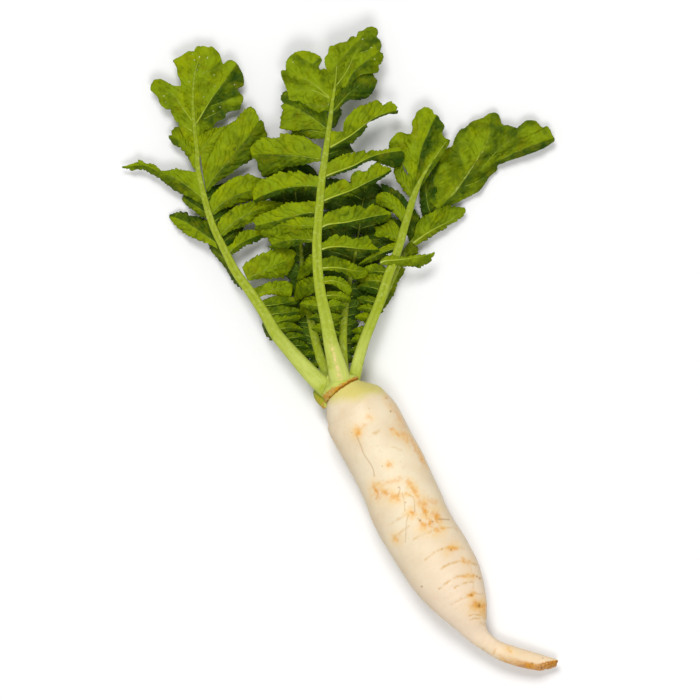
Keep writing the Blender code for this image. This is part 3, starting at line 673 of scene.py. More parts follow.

# %% Measured leaflets: rib, far edge and near edge from foot to tip, tip height, falls, painted light tones
# The far edge is the one on the side of the leaf's tip. A fall is in degrees, and a tone paints
# light and shade into each half's colour, from -1, painted deep shade green, to 1, painted light,
# bright. A last number lifts the foot above the stalk's middle, in mm.
LEAFLETS = {
    "leaf_left": [
        ([(197, 160), (184, 146), (172, 135)],
         [(195, 150), (188, 137), (181, 128), (176, 127), (171, 131)],
         [(196, 170), (189, 158), (183, 150), (175, 145), (169.5, 139), (169, 135)],
         12, (12, 30), (0.0, -0.2)),
        ([(205, 201), (199, 195), (190, 188), (178, 180), (165, 174), (155, 170), (145, 166),
          (133, 165.8), (122, 167)],
         [(197, 172), (191, 171.5), (186, 170.5), (180, 169.5), (174, 169), (169, 170.5),
          (163, 171), (158, 170), (155.5, 166), (153, 164), (148, 164), (144.5, 163), (142, 160.5),
          (139.5, 160), (136, 162.5), (131, 164), (126, 165.7), (121.5, 166.8)],
         [(207, 207), (198, 202), (190, 197), (180, 193), (171, 187), (161, 179.5), (153, 174.5),
          (148, 171.5), (144, 169.8), (139, 169), (134, 169.7), (131, 170.5), (129, 168.5),
          (125, 168), (122, 167.3)],
         8, (10, 35), (0.3, -0.35)),
        ([(209, 215), (200, 209), (190, 202), (183, 196)],
         [(206, 203), (198, 199), (190, 195), (184, 193)],
         [(209, 219), (201, 216), (194, 211), (187, 205), (182, 199)],
         4, (10, 25), (-0.8, -0.2)),
        ([(216, 243), (206, 236), (195, 228), (185, 221.5), (175, 217.5), (169, 216)],
         [(211, 222), (205, 219), (199, 217), (193, 216), (188, 215.5), (186.5, 213), (183, 211.7),
          (178, 212), (173, 213.5), (169, 215.5)],
         [(218, 249), (210, 244.5), (203, 242), (196, 239), (189, 236), (183, 232), (177, 227),
          (172, 221), (169, 217)],
         3, (30, 10), (-0.65, 0.25)),
        ([(229, 262), (219, 254), (210, 247)],
         [(217, 244), (212, 243), (208, 244)],
         [(236, 276), (228, 270), (221, 262), (214, 254), (209, 247.5)],
         5, (20, 30), (-0.6, -0.5)),
        ([(243, 286), (232, 275), (224, 265)],
         [(231, 263), (227, 262), (223, 263.5)],
         [(246, 292), (238, 286), (232, 279), (227, 270), (223.5, 265.5)],
         7, (30, 40), (-0.5, -0.6)),
        ([(276, 334), (269, 329), (263, 322)],
         [(268, 322), (265, 320), (262.5, 320)],
         [(277, 341), (270, 339), (265, 333), (262.3, 325)],
         13, (30, 45), (-0.4, -0.6)),
        ([(200, 152), (207, 143), (216, 135), (226, 128)],
         [(196, 137), (203, 133), (209, 130.5), (214, 128), (219, 128), (225, 125.5)],
         [(203, 173), (209, 166), (215, 158), (222, 152), (228, 145), (230, 136), (228, 129)],
         15.5, (5, 12), (0.2, 0.3)),
        ([(206, 190), (213, 179), (222, 168.5), (232, 158), (243, 145.5), (251, 134), (258.5, 121)],
         [(203, 174), (207, 162), (211, 153), (216, 143), (222, 132), (228, 125), (236, 120),
          (241, 114), (246, 108), (250, 107), (254, 108.5), (257, 114), (259.5, 118.5)],
         [(208, 192), (217, 182.5), (229, 175), (239, 167), (248, 162), (254, 157), (260, 150),
          (265, 143), (267, 136), (265, 130), (263.5, 124), (261, 119.5)],
         15, (5, 22), (0.3, -0.5)),
        ([(212, 213), (220, 205), (230, 199), (240, 194.5), (250, 191), (262, 188)],
         [(209, 202), (213, 194.5), (219, 188), (226, 182.5), (232, 178.5), (238, 176), (245, 175),
          (251, 174.5), (256, 177), (263, 179)],
         [(214, 215), (222, 209.5), (232, 206.5), (242, 202.5), (251, 200.5), (258, 199),
          (264, 194), (264, 189)],
         12, (8, 35), (0.35, -0.1)),
        ([(221, 235), (229, 227), (239, 219.5), (250, 213.5), (262, 208.5), (274, 205), (283, 204)],
         [(217, 226), (221, 218), (227, 213), (233, 208), (240, 205), (248, 203), (256, 200),
          (264, 200.5), (272, 201), (279, 202), (283, 203)],
         [(223, 237), (231, 230.5), (240, 227.5), (248, 224), (256, 222), (265, 219), (274, 214),
          (281, 209), (284, 205)],
         12, (8, 35), (0.3, -0.15)),
        ([(230, 252), (237, 246), (247, 240.5), (256, 236.5), (264, 234)],
         [(227, 247), (233, 243), (236, 238), (240, 232.5), (246, 230.5), (252, 230), (259, 230),
          (264, 232)],
         [(232, 255), (239, 250), (249, 244), (258, 240.5), (265, 236)],
         11, (10, 45), (0.35, -0.5)),
        ([(247, 279), (257, 274), (268, 269), (278, 264.5), (288, 260.5), (294, 258)],
         [(242, 267), (247, 262), (252, 258.5), (258, 255), (265, 252.5), (271, 250), (276, 249),
          (280, 247), (286, 248), (291, 249), (295, 251.5), (296.5, 254)],
         [(249, 281), (258, 279), (268, 278), (277, 278), (284, 276.5), (289, 272), (292, 267),
          (295, 261)],
         12, (6, 25), (0.3, -0.15)),
        ([(256, 296), (265, 291), (275, 289), (285, 290), (292, 292)],
         [(251, 289), (258, 287), (263, 284.5), (269, 282), (276, 281), (283, 281), (289, 282),
          (293, 286)],
         [(259, 298), (266, 294.5), (274, 294.5), (281, 297), (287, 299.5), (291, 297)],
         14, (8, 20), (0.2, 0.3)),
    ],
    "leaf_middle": [
        ([(332, 113), (340, 104), (348, 95), (358, 87), (367, 81), (374, 77)],
         [(334, 100), (341, 90), (350, 80), (361, 71), (371, 69)],
         [(332, 117), (341, 107), (350, 100), (356, 100.5), (363, 99), (370, 95.5), (373, 91),
          (376, 85), (377, 80)],
         20, (15, 25), (-0.7, -0.75)),
        ([(331, 119), (335, 113), (340, 109)],
         [(333, 111), (337, 107), (341, 106)],
         [(331, 128), (335, 127.5), (338, 121), (341, 115), (342, 110)],
         24, (30, 35), (-0.8, -0.8)),
        ([(327, 130), (318, 122.5), (308, 115.5), (297, 109.5), (284, 104)],
         [(328, 112), (320, 110), (310, 107), (300, 100), (292, 93), (286, 91.5), (282, 95),
          (280.5, 100)],
         [(326, 132), (316, 130), (305, 130), (296, 131.5), (288, 130.5), (282, 129.5), (280, 127),
          (281, 122), (281, 117), (283, 112), (281, 106)],
         24, (36, 8), (-0.6, 0.05)),
        ([(326, 134), (315, 132), (303, 131), (292, 133)],
         [(326, 130), (315, 129), (303, 129), (292, 131)],
         [(326, 139), (317, 139.5), (310, 139), (303, 136), (296, 136), (290, 135)],
         26, (8, 25), (-0.4, -0.5)),
        ([(321, 160), (312, 158.5), (300, 157), (285, 156), (270, 155.5), (258, 155), (252, 156)],
         [(322, 149), (318, 146), (313, 143), (308, 139), (301, 136), (294, 136), (288, 134.5),
          (281, 134), (279, 138), (272, 138.5), (264, 138), (256, 142), (251, 148), (251, 153)],
         [(321, 162), (312, 163), (303, 165.5), (294, 166.5), (286, 168), (280, 172), (272, 174.5),
          (268, 177), (264, 177), (260, 172), (258, 167), (257.5, 162), (255, 159), (252, 157.5)],
         25, (4, 24), (0.35, -0.4)),
        ([(320, 187), (308, 186.5), (297, 187), (285, 189), (272, 193), (262, 197), (254, 201)],
         [(321, 177), (312, 176), (305, 173.5), (299, 171.5), (294, 173), (290, 171.5),
          (285, 173.5), (280, 172.5), (274, 175), (268, 178), (262, 180), (256, 186), (252, 193)],
         [(320, 190), (308, 190), (297, 191), (285, 193.5), (272, 197), (262, 200.5), (255, 203)],
         24, (6, 50), (0.45, -0.8)),
        ([(318, 212.5), (305, 214), (292, 217), (282, 220), (270, 223), (256, 226)],
         [(318, 202), (308, 202), (298, 203), (288, 203), (283, 205), (279, 208), (272, 211),
          (264, 213.5), (257, 217), (253, 221)],
         [(318, 215), (305, 217), (292, 221), (282, 225), (270, 228), (258, 230), (254, 229)],
         24, (6, 45), (0.4, -0.6)),
        ([(317, 226), (305, 226), (293, 226.5), (280, 225.5), (268, 225.5), (258, 228)],
         [(317, 218), (305, 217.5), (293, 218), (283, 219), (272, 218.5), (262, 219), (255, 222)],
         [(317, 229), (305, 229), (293, 231), (282, 235), (272, 238), (264, 237), (260, 232)],
         20, (8, 30), (0.25, 0.0)),
        ([(317, 241), (305, 240), (294, 240), (283, 242), (272, 245)],
         [(317, 232), (308, 229), (300, 228), (293, 230), (285, 231), (276, 235), (268, 240)],
         [(317, 244), (307, 242.5), (299, 245), (290, 247.5), (281, 248.5), (273, 249), (268, 246)],
         20, (8, 35), (0.1, -0.5)),
        ([(316, 262), (310, 264), (304, 268), (298, 274)],
         [(315, 253), (309, 256), (306, 261), (301, 267)],
         [(316, 272), (311, 274), (305, 278), (299, 281), (296, 279)],
         18, (10, 30), (0.1, -0.3)),
        ([(317, 285), (309, 286), (300, 288), (295, 292)],
         [(317, 276), (308, 278), (300, 281), (296, 284)],
         [(318, 292), (311, 294), (304, 298), (297, 300), (294, 297)],
         18, (10, 30), (0.0, -0.2)),
        ([(319, 305), (311, 305), (303, 309), (300, 314)],
         [(318, 296), (310, 297), (303, 300), (300, 304)],
         [(320, 313), (313, 312), (307, 314), (302, 318)],
         18, (10, 30), (0.0, -0.3)),
        ([(330, 148), (340, 142.5), (350, 136.5), (358, 130.5), (366, 124), (373, 119),
          (380, 115.5), (388, 113), (396, 111.5)],
         [(331, 131.5), (338, 132), (344, 131.5), (343.5, 126), (345, 121), (347, 117.5),
          (350, 114.5), (353.5, 110.5), (357, 109), (360, 106), (364, 105.5), (368, 103.5),
          (372, 102), (377, 100.3), (379.5, 101.5), (381, 104.5), (384, 105.5), (387, 103),
          (391, 102.2), (394, 104.5), (397.5, 107.5)],
         [(330, 150), (339, 147), (346, 145.5), (352, 143.5), (357, 138.5), (362, 134.5),
          (365.5, 129.5), (368, 123.5), (375, 119.8), (382, 116.5), (388, 114.2), (393, 114),
          (397, 113.5), (398, 110)],
         23, (5, 38), (0.25, -0.75)),
        ([(328, 155), (340, 151), (352, 149)],
         [(329, 147), (340, 145), (350, 146)],
         [(327, 164), (336, 159), (345, 156), (354, 151.5)],
         18, (10, 20), (-0.95, -0.95)),
        ([(325, 177), (335, 173), (345, 169.5), (355, 165.5), (363, 161), (371, 157.3),
          (380, 154.5), (390, 152.5), (402, 151.5)],
         [(325, 166), (329, 163), (334, 159.5), (341, 156.5), (348, 153.8), (356, 152.8),
          (362, 151.3), (366, 152), (371, 150.7), (377, 151.5), (384, 150.3), (392, 148.5),
          (400, 148)],
         [(325, 179.5), (335, 176), (345, 172.5), (355, 169), (363, 164), (371, 161), (378, 162.5),
          (386, 166), (394, 168), (400, 165), (404, 158), (404, 153)],
         25, (5, 32), (0.25, -0.8)),
        ([(322, 202), (333, 197.5), (343, 194), (352, 190.5), (360, 186.5), (368, 182.3),
          (376, 178.5), (384, 174.5), (391, 170)],
         [(323, 193), (326, 189), (330, 185.5), (335, 183), (339, 181.5), (343, 179.8),
          (347, 181.2), (350, 184), (351, 177), (354, 173), (357.5, 171), (362, 172),
          (366.5, 171.5), (370, 167), (375, 163.5), (379, 162), (381, 165.5), (386, 167),
          (391, 168.5)],
         [(323, 205), (333, 201), (343, 199), (352, 196), (360, 192), (368, 187), (376, 182),
          (384, 177), (391.5, 171)],
         24, (5, 50), (0.25, -0.85)),
        ([(321, 228), (328, 225), (337, 223.7), (346, 222.7), (354, 221), (362, 219.3),
          (370, 217.3), (378, 215.8), (391, 214.5)],
         [(321, 221), (324, 217), (328, 213), (335, 210.5), (341, 208), (347, 206.3), (352, 207),
          (360, 206), (364, 209), (368, 208), (371, 205), (376, 205.5), (382, 208), (388, 211.5),
          (391.5, 213.7)],
         [(321, 231), (330, 228.5), (340, 227), (350, 225.5), (360, 223.5), (370, 222), (380, 223),
          (387, 221), (391.5, 216)],
         24, (5, 45), (0.25, -0.7)),
        ([(321, 250), (330, 247.5), (340, 247), (350, 247.8), (360, 249), (370, 249.7), (379, 250)],
         [(321, 243), (325, 242), (329, 238), (333, 236), (337, 235.7), (342, 236.8), (347, 236.5),
          (352, 239), (358, 239), (363, 237), (367, 236.5), (370, 239.5), (373, 245), (378, 248.8)],
         [(321, 252), (331, 250.5), (342, 250.5), (353, 251.5), (365, 252), (374, 252), (379, 251)],
         25, (5, 50), (0.2, -0.8)),
        ([(322, 268.5), (332, 267.8), (342, 268.5), (352, 270.5), (360, 271.5), (368, 272.5)],
         [(322, 260), (327, 258), (333, 256.5), (339, 258), (345, 260), (352, 263), (360, 267),
          (367, 271)],
         [(322, 271), (332, 270.5), (341, 272.5), (349, 276), (356, 279), (363, 277.5), (368, 274)],
         25, (8, 25), (0.0, 0.0)),
        ([(324, 282), (333, 281), (341, 283.5), (347, 288), (351, 293)],
         [(324, 277), (333, 276.3), (341, 278), (346.5, 281.5), (349.5, 286), (352, 291)],
         [(325, 284.5), (332, 284.5), (338, 288), (344, 292.5), (350, 296)],
         27, (8, 20), (0.2, 0.2)),
        ([(327, 296), (336, 295.5), (345, 298), (351, 301)],
         [(327, 292), (334, 291.5), (342, 292.5), (350, 297)],
         [(327, 299), (336, 299.5), (344, 302), (350, 303)],
         27, (8, 30), (0.1, -0.3)),
    ],
    "leaf_right": [
        ([(413, 197), (408, 189), (402, 181), (397, 174), (394.5, 168)],
         [(416, 184), (415, 177), (410, 176), (405, 173), (403, 167), (400, 163), (396, 165)],
         [(411, 199), (405, 192), (399, 184), (396, 178), (394, 172)],
         15, (8, 20), (0.0, 0.1)),
        ([(405, 222), (399, 211), (391, 203), (383, 198), (376, 197)],
         [(407, 212), (402, 204), (398, 199), (392, 195), (385, 192), (378, 194)],
         [(403, 224), (396, 215), (389, 209), (381, 206.5), (376, 202)],
         14, (8, 20), (0.35, 0.0)),
        ([(400, 242), (393, 235), (385, 231.5), (376, 231)],
         [(402, 232), (397, 225), (391, 219), (385, 224), (379, 226), (374, 227)],
         [(399, 245), (392, 240), (386, 237.5), (379, 237), (374, 235)],
         14, (8, 20), (0.2, 0.1)),
        ([(397, 248.5), (390, 250), (380, 254), (370, 259), (358, 265.5)],
         [(399, 244), (393, 243), (387, 245), (381, 248), (374, 253), (366, 258), (359, 264)],
         [(397, 251.5), (390, 253), (380, 257.5), (371, 262.5), (360, 267)],
         14, (10, 50), (0.3, -0.7)),
        ([(380, 263), (385, 261), (392, 260.5), (402, 259.7), (412, 258.3), (422, 256.5),
          (429, 254.8), (434.3, 252.6)],
         [(380, 261), (386, 257), (392, 255.5), (398, 257), (405, 257.3), (412, 256.3), (418, 255),
          (424, 254.8), (430, 254), (434.5, 252.2)],
         [(381, 265), (388, 265), (396, 265.7), (404, 266.2), (412, 266.6), (419, 267.4),
          (424, 265), (429, 262.7), (431.5, 259), (434.7, 253.2)],
         19, (20, 28), (0.3, -0.1), 4.5),
    ],
    "leaf_far_right": [
        ([(413, 243), (425, 234.5), (437, 227.5), (448, 222), (457, 215), (465, 208.5)],
         [(416, 225), (422, 217), (430, 213), (437, 209.5), (443, 206.5), (449, 205), (455, 206.5),
          (461, 207), (465.5, 208)],
         [(416, 246), (423, 241), (430, 237.5), (437, 233), (445, 227.3), (451, 223.5), (457, 220),
          (462, 217), (464.5, 213), (465.8, 209.5)],
         9, (8, 40), (-0.05, 0.0), 5.0),
        ([(432, 216), (428, 205), (426, 192), (424, 178)],
         [(442, 205), (437, 190), (433, 180), (427, 174)],
         [(424, 222), (421, 208), (420, 195), (421, 182)],
         8, (8, 20), (-0.8, -1.1)),
        ([(417, 238), (411, 226), (406, 214)],
         [(424, 228), (418, 214), (410, 206)],
         [(411, 243), (406, 232), (403, 220)],
         7, (10, 15), (-0.6, -0.8)),
        ([(400, 262), (408, 253), (415, 246)],
         [(408, 252), (408, 244), (414, 242)],
         [(403, 264), (411, 258), (418, 252), (417, 246)],
         8, (10, 20), (-0.1, -0.1)),
        ([(392, 280), (398, 274), (403, 268)],
         [(395, 272), (398, 267), (403, 265)],
         [(394, 285), (399, 280), (403, 274), (405, 268)],
         7, (15, 30), (-0.4, -0.2)),
        ([(385, 296), (391, 289), (396, 282)],
         [(388, 287), (392, 281), (396, 279)],
         [(387, 302), (392, 297), (395, 291), (397, 284)],
         6, (15, 30), (-0.3, -0.2)),
        ([(378, 311), (384, 304), (389, 299)],
         [(382, 300), (386, 296), (389, 296)],
         [(380, 315), (384, 309), (388, 303), (391, 298)],
         6, (15, 30), (-0.3, -0.3)),
    ],
}

# Leaflets of the inner leaves, and dark leaflets under the left and right leaves that are painted
# deep shade green where shade falls: foot, tip, tip height, width of each half, bow in steps
INNER_LEAFLETS = {
    "leaf_right": [((408, 215), (381, 184), 8, 8, 7, 1), ((402, 238), (374, 216), 8, 7, 8, 1)],
    "leaf_left": [
        ((206, 201), (228, 184), 5, 7, 8, 1), ((212, 224), (238, 206), 5, 7, 8, 1),
        ((221, 245), (243, 227), 5, 7, 9, 1),
    ],
    "leaf_inner_left": [
        ((295, 190), (272, 176), 4, 8, 8, 2), ((295, 190), (321, 176), 4, 8, 8, 2),
        ((297, 206), (270, 194), 5, 8, 9, 2), ((297, 206), (321, 194), 5, 9, 9, 2),
        ((299, 222), (271, 213), 5, 9, 9, 2), ((299, 222), (322, 212), 5, 9, 9, 2),
        ((300, 239), (275, 232), 5, 9, 9, 2), ((300, 239), (322, 231), 5, 9, 9, 2),
        ((302, 257), (284, 252), 5, 9, 8, 1), ((302, 257), (323, 250), 5, 9, 8, 2),
        ((303, 273), (280, 270), 6, 9, 9, 1), ((303, 273), (324, 268), 6, 9, 8, 2),
        ((305, 288), (282, 290), 6, 9, 8, 1), ((305, 288), (325, 286), 6, 9, 8, 2),
        ((307, 303), (288, 309), 7, 7, 8, 1), ((307, 303), (328, 304), 7, 8, 8, 2),
    ],
    "leaf_inner_right": [
        ((363, 200), (315, 181), 5, 10, 10, 2), ((363, 200), (385, 194), 5, 9, 9, 2),
        ((361, 214), (313, 199), 5, 10, 10, 2), ((361, 214), (402, 206), 5, 10, 9, 3),
        ((359, 229), (311, 216), 5, 10, 10, 2), ((359, 229), (404, 224), 5, 10, 9, 3),
        ((357, 244), (311, 233), 5, 10, 10, 2), ((357, 244), (397, 241), 5, 10, 9, 3),
        ((354, 259), (311, 249), 6, 10, 10, 2), ((354, 259), (391, 259), 6, 9, 9, 3),
        ((351, 274), (313, 267), 7, 10, 10, 2), ((351, 274), (385, 277), 7, 9, 9, 2),
        ((349, 289), (315, 286), 8, 9, 9, 2), ((349, 289), (380, 294), 8, 9, 9, 2),
    ],
}

# Small leaflets by rule: first and last grid y, how many a side, first and last length in steps,
# height lost from foot to tip, and the sides.
SMALL_LEAFLETS = {
    "leaf_left": [(306, 366, 8, 38, 16, 9, (-1,)), (312, 352, 5, 34, 18, 14, (-1,))],
    "leaf_middle": [(306, 346, 6, 24, 9, 9, (1,)), (310, 334, 4, 20, 10, 10, (-1,))],
    "leaf_right": [(272, 352, 9, 30, 11, 9, (1,)), (280, 346, 6, 22, 10, 15, (1,))],
    "leaf_inner_left": [(306, 362, 8, 26, 14, 9, (1,)), (304, 362, 8, 26, 14, 9, (-1,))],
    "leaf_inner_right": [(296, 366, 9, 26, 13, 9, (1,)), (300, 362, 8, 20, 11, 9, (-1,))],
}

# %% End blades: middle, edge points in order, veins with fall and painted light tone on their left and right
END_BLADES = {
    "leaf_left": [
        dict(
            middle=(200, 105),
            edge=[
                (195, 169), (187, 153), (184, 138), (179, 126), (178.5, 122), (176, 121.5),
                (172, 114), (170, 109), (166, 109), (160, 104), (158, 98), (155, 94), (150.5, 90),
                (151, 85), (154, 80), (160, 79), (164, 80.5), (170, 84.5), (177, 86), (181, 85),
                (180, 79), (177.5, 74), (177, 68), (174, 62), (173.5, 60), (181, 56), (188, 51.5),
                (194, 51), (196.5, 46.5), (204, 46), (208, 47), (212, 46.5), (217, 51), (220, 55),
                (222, 62), (223.5, 64), (227, 61), (231, 60), (236, 62.5), (239.5, 68), (243, 75),
                (244, 82), (243, 86), (239, 87.5), (238, 91), (242, 95), (243.5, 99), (241, 105),
                (240, 109), (235, 110.5), (229, 111.5), (226, 114), (224.5, 118.5), (218, 121),
                (214.5, 124), (213, 128), (205, 134), (201, 152),
            ],
            veins=[
                ([(198, 169, 16), (196, 132, 16.5), (193, 110, 17), (192, 90, 17), (195, 62, 15)],
                 (0.1, 0.1), (0.5, 0.45)),
                ([(196, 124, 16.5), (212, 98, 18), (224, 82, 18), (236, 65, 17)],
                 (-0.05, 0.5), (0.45, -0.75)),
                ([(193, 122, 17), (182, 107, 16.5), (173, 95, 16), (155, 85, 12)],
                 (0.25, -0.05), (0.1, 0.45)),
                ([(192, 131, 16), (182, 125, 15), (176, 121, 13)], (0.2, 0.0), (0.1, 0.25)),
                ([(211, 106, 15.5), (222, 102, 14), (234, 97, 13)], (-0.1, 0.3), (-0.7, -0.15)),
                ([(204, 119, 15.5), (214, 114, 14), (228, 108, 12)], (-0.1, 0.3), (-0.4, -0.7)),
                ([(202, 74, 17.5), (211, 69, 17), (221, 60, 15)], (0.0, 0.25), (0.7, 0.0)),
            ],
        ),
    ],
    "leaf_middle": [
        dict(
            middle=(350, 62),
            edge=[
                (331, 113), (330, 95), (329, 80), (326, 68), (324.5, 62), (325, 58), (328, 54),
                (328.5, 50), (330, 46.5), (334, 46), (339, 43.5), (343, 43), (347, 42), (350, 38),
                (353, 37), (358, 37), (358.5, 32), (363, 31), (367, 28), (371, 27), (375, 28),
                (378, 31), (377, 37), (380, 41), (381.5, 46), (380, 52), (383, 54), (383, 59),
                (381, 64), (378.5, 66), (379, 70), (377, 73), (370, 74), (362, 75), (355, 80),
                (350, 88), (347, 99), (343, 103), (336, 113),
            ],
            veins=[
                ([(333, 112, 29.5), (334, 88, 28.5), (336.5, 62, 27)], (0.12, 0.12), (0.25, 0.2)),
                ([(334, 89, 29), (346, 73, 29), (355, 55, 28), (369, 33, 23)],
                 (0.25, 0.15), (-0.25, -0.3)),
                ([(342, 59, 28), (348, 52, 28), (362, 37, 25)], (-0.05, 0.3), (0.35, -0.35)),
                ([(342, 98, 28), (348, 82, 28), (357, 69, 27), (375, 55, 23)],
                 (-0.05, 0.45), (0.45, -0.5)),
                ([(361, 53, 26), (367, 51, 25), (371, 48, 24)], (0.2, 0.1), (-0.55, 0.2)),
                ([(334, 110, 29), (341, 104, 28), (347, 98, 26)], (0.1, 0.3), (0.3, -0.5)),
            ],
        ),
        dict(
            middle=(309, 84),
            edge=[
                (331, 112), (326, 111), (320, 113), (316, 116), (311, 113), (308, 110),
                (301, 109.5), (296, 109), (291, 106), (289, 99), (287, 91), (285.5, 86),
                (282.5, 79), (281, 73), (282, 70.5), (286, 70), (286, 63), (288, 59), (292, 55),
                (296, 52.5), (303, 51), (309, 52), (315, 54), (320, 57), (322, 61), (319, 63),
                (318.5, 68), (321, 70.5), (325, 69), (331, 78), (333, 96),
            ],
            veins=[
                ([(330, 100, 29.5), (323, 89, 29), (316, 80, 28), (309, 69, 26)],
                 (0.2, 0.25), (0.3, 0.15)),
                ([(329.5, 98, 29.3), (315, 85.5, 28.5), (297, 76, 26.5), (284, 71.5, 22)],
                 (0.28, 0.08), (0.1, 0.35)),
                ([(329.5, 99, 29.4), (316, 92, 28), (302, 89.5, 27), (288, 91, 24)],
                 (0.05, 0.15), (0.3, 0.2)),
                ([(326, 107, 28.5), (312, 106, 27), (295, 102, 24)], (0.1, 0.0), (0.2, 0.2)),
                ([(318, 60, 27), (312, 64, 27), (305, 60, 25)], (0.3, 0.0), (-0.5, 0.5)),
            ],
        ),
    ],
    "leaf_right": [
        dict(
            middle=(419, 147),
            edge=[
                (415, 190), (408, 173), (399, 160), (390, 150), (389, 143), (393, 137), (397, 133),
                (401, 132), (406, 134), (411, 133.5), (412.5, 128), (412, 122), (415, 117),
                (417, 112), (421, 109), (425, 107), (429, 108), (433, 111), (434, 114), (438, 116),
                (440, 120), (443, 123), (444.5, 127), (442, 133), (445, 138), (450, 141),
                (446, 149), (440, 159), (431, 172), (421, 187),
            ],
            veins=[
                ([(414, 192, 20.5), (424, 174, 20.5), (436, 156, 20), (448, 141, 18)],
                 (0.25, 0.1), (0.2, -0.45)),
                ([(412, 180, 18), (404, 165, 18.5), (396, 145, 15)], (0.15, 0.05), (0.2, 0.4)),
                ([(418, 165, 19), (421, 150, 19.5), (427, 135, 19.5), (436, 116, 17)],
                 (0.0, 0.75), (0.3, -1.0)),
                ([(414, 150, 19), (417, 132, 19), (424, 111, 17)], (0.15, 0.0), (0.35, 0.45)),
            ],
        ),
    ],
    "leaf_far_right": [
        dict(
            middle=(486, 155),
            edge=[
                (440, 210), (429, 200), (428, 186), (434, 165), (445, 150), (452, 146), (455, 138),
                (460, 130), (466, 127), (471, 122), (477, 119.5), (483, 117.5), (488, 114),
                (493, 112.3), (497, 113), (500, 117), (502, 124), (508, 125), (514, 127),
                (520, 128.5), (525, 126), (525.5, 121), (530, 120), (536, 121), (540, 125),
                (544, 128), (547, 126), (550, 129), (552, 134), (555, 140), (550, 144), (544, 148),
                (534, 152), (520, 157), (505, 162), (498, 165), (497, 170), (490, 176), (486, 182),
                (480, 190), (472, 195), (460, 201), (446, 208),
            ],
            veins=[
                ([(440, 208, 8), (455, 191, 8.5), (471, 169, 9)], (0.15, 0.4), (0.25, -0.7)),
                ([(471, 169, 9), (475, 166, 9.5), (488, 141, 12), (491, 118, 9)],
                 (0.1, 0.1), (0.0, -0.45)),
                ([(482, 168, 9.5), (498, 150, 12.5), (515, 136, 13.5), (530, 122, 11)],
                 (0.15, 0.05), (-0.45, -0.15)),
                ([(500, 160, 10), (520, 150, 11), (545, 141, 11)], (-0.05, 0.35), (0.1, -0.8)),
                ([(436, 196, 8.5), (434, 180, 9), (440, 162, 7)], (0.2, 0.0), (-0.9, 0.2)),
                ([(465, 186, 7.5), (478, 181, 6), (492, 172, 4)], (0.1, 0.15), (-0.6, -0.4)),
                ([(477, 160, 10.5), (480, 153, 12), (484, 143, 12)], (-0.15, 0.35), (0.6, -0.35)),
                ([(462, 160, 11), (459, 146, 10), (466, 133, 8)], (0.25, 0.1), (-0.35, 0.1)),
            ],
        ),
    ],
    "leaf_inner_left": [
        dict(
            middle=(292, 192),
            edge=[
                (299, 222), (287, 214), (276, 207), (268, 195), (266, 181), (272, 170), (284, 164),
                (299, 162), (312, 167), (318, 178), (316, 192), (310, 206), (302, 219),
            ],
            veins=[
                ([(299, 224, 6), (296, 200, 7), (292, 166, 4)], (0.1, 0.1), (-0.2, -0.2)),
            ],
        ),
    ],
    "leaf_inner_right": [
        dict(
            middle=(362, 200),
            edge=[
                (360, 226), (347, 219), (332, 210), (331, 197), (344, 188), (358, 184), (371, 181),
                (381, 187), (385, 198), (380, 210), (370, 220),
            ],
            veins=[
                ([(359, 228, 7), (363, 205, 7), (366, 184, 4)], (0.1, 0.1), (-0.2, -0.2)),
            ],
        ),
    ],
}

# %% [markdown]
# ## A leaflet as a sheet
# Each leaflet is a grid of points: one direction runs out along its rib, the other across it, from
# one measured edge over the rib to the other edge. Both halves droop from the rib. Between its side
# veins the blade puckers up, as it grows faster than the veins do, and its edge is cut into small
# teeth and ruffled. The puckers, the vein lines in the colour and the teeth come from the same
# distances, so they line up.

# %% Waves, teeth and veins of a sheet
def side_veins(out, across, gap, seed):
    """Counts side veins, whole on each: they leave the rib every `gap` metres and slant forward."""
    return (out - 0.85 * across) / gap + 0.36 * ripples(out, across, 12 * MM, seed)


def puckers(count):
    """0 on each side vein and 1 half-way between two."""
    return np.abs(np.sin(np.pi * count)) ** 0.8


def teeth(run, gap, seed):
    """Saw teeth along an edge, from -1 in the notches to about 1 at the points, uneven in size."""
    place = run / gap + 0.45 * ripples(run, 0 * run, 4 * gap, seed)
    size = 0.6 + 0.5 * ripples(run, 0 * run, 2.5 * gap, seed + 1)
    return (2 * (place - np.floor(place)) ** 0.8 - 1) * size


def sheet_normals(points):
    """Upward normals of a grid of points, from the steps to the next row and the next column."""
    normal = np.cross(np.gradient(points, axis=0), np.gradient(points, axis=1))
    normal /= np.maximum(np.linalg.norm(normal, axis=-1, keepdims=True), 1e-12)
    return normal * np.where(normal[..., 2:] < 0, -1.0, 1.0)


# %% Leaflet sheets
TOOTH_GAP = 3.6 * MM
LOWEST = 0.5 * MM


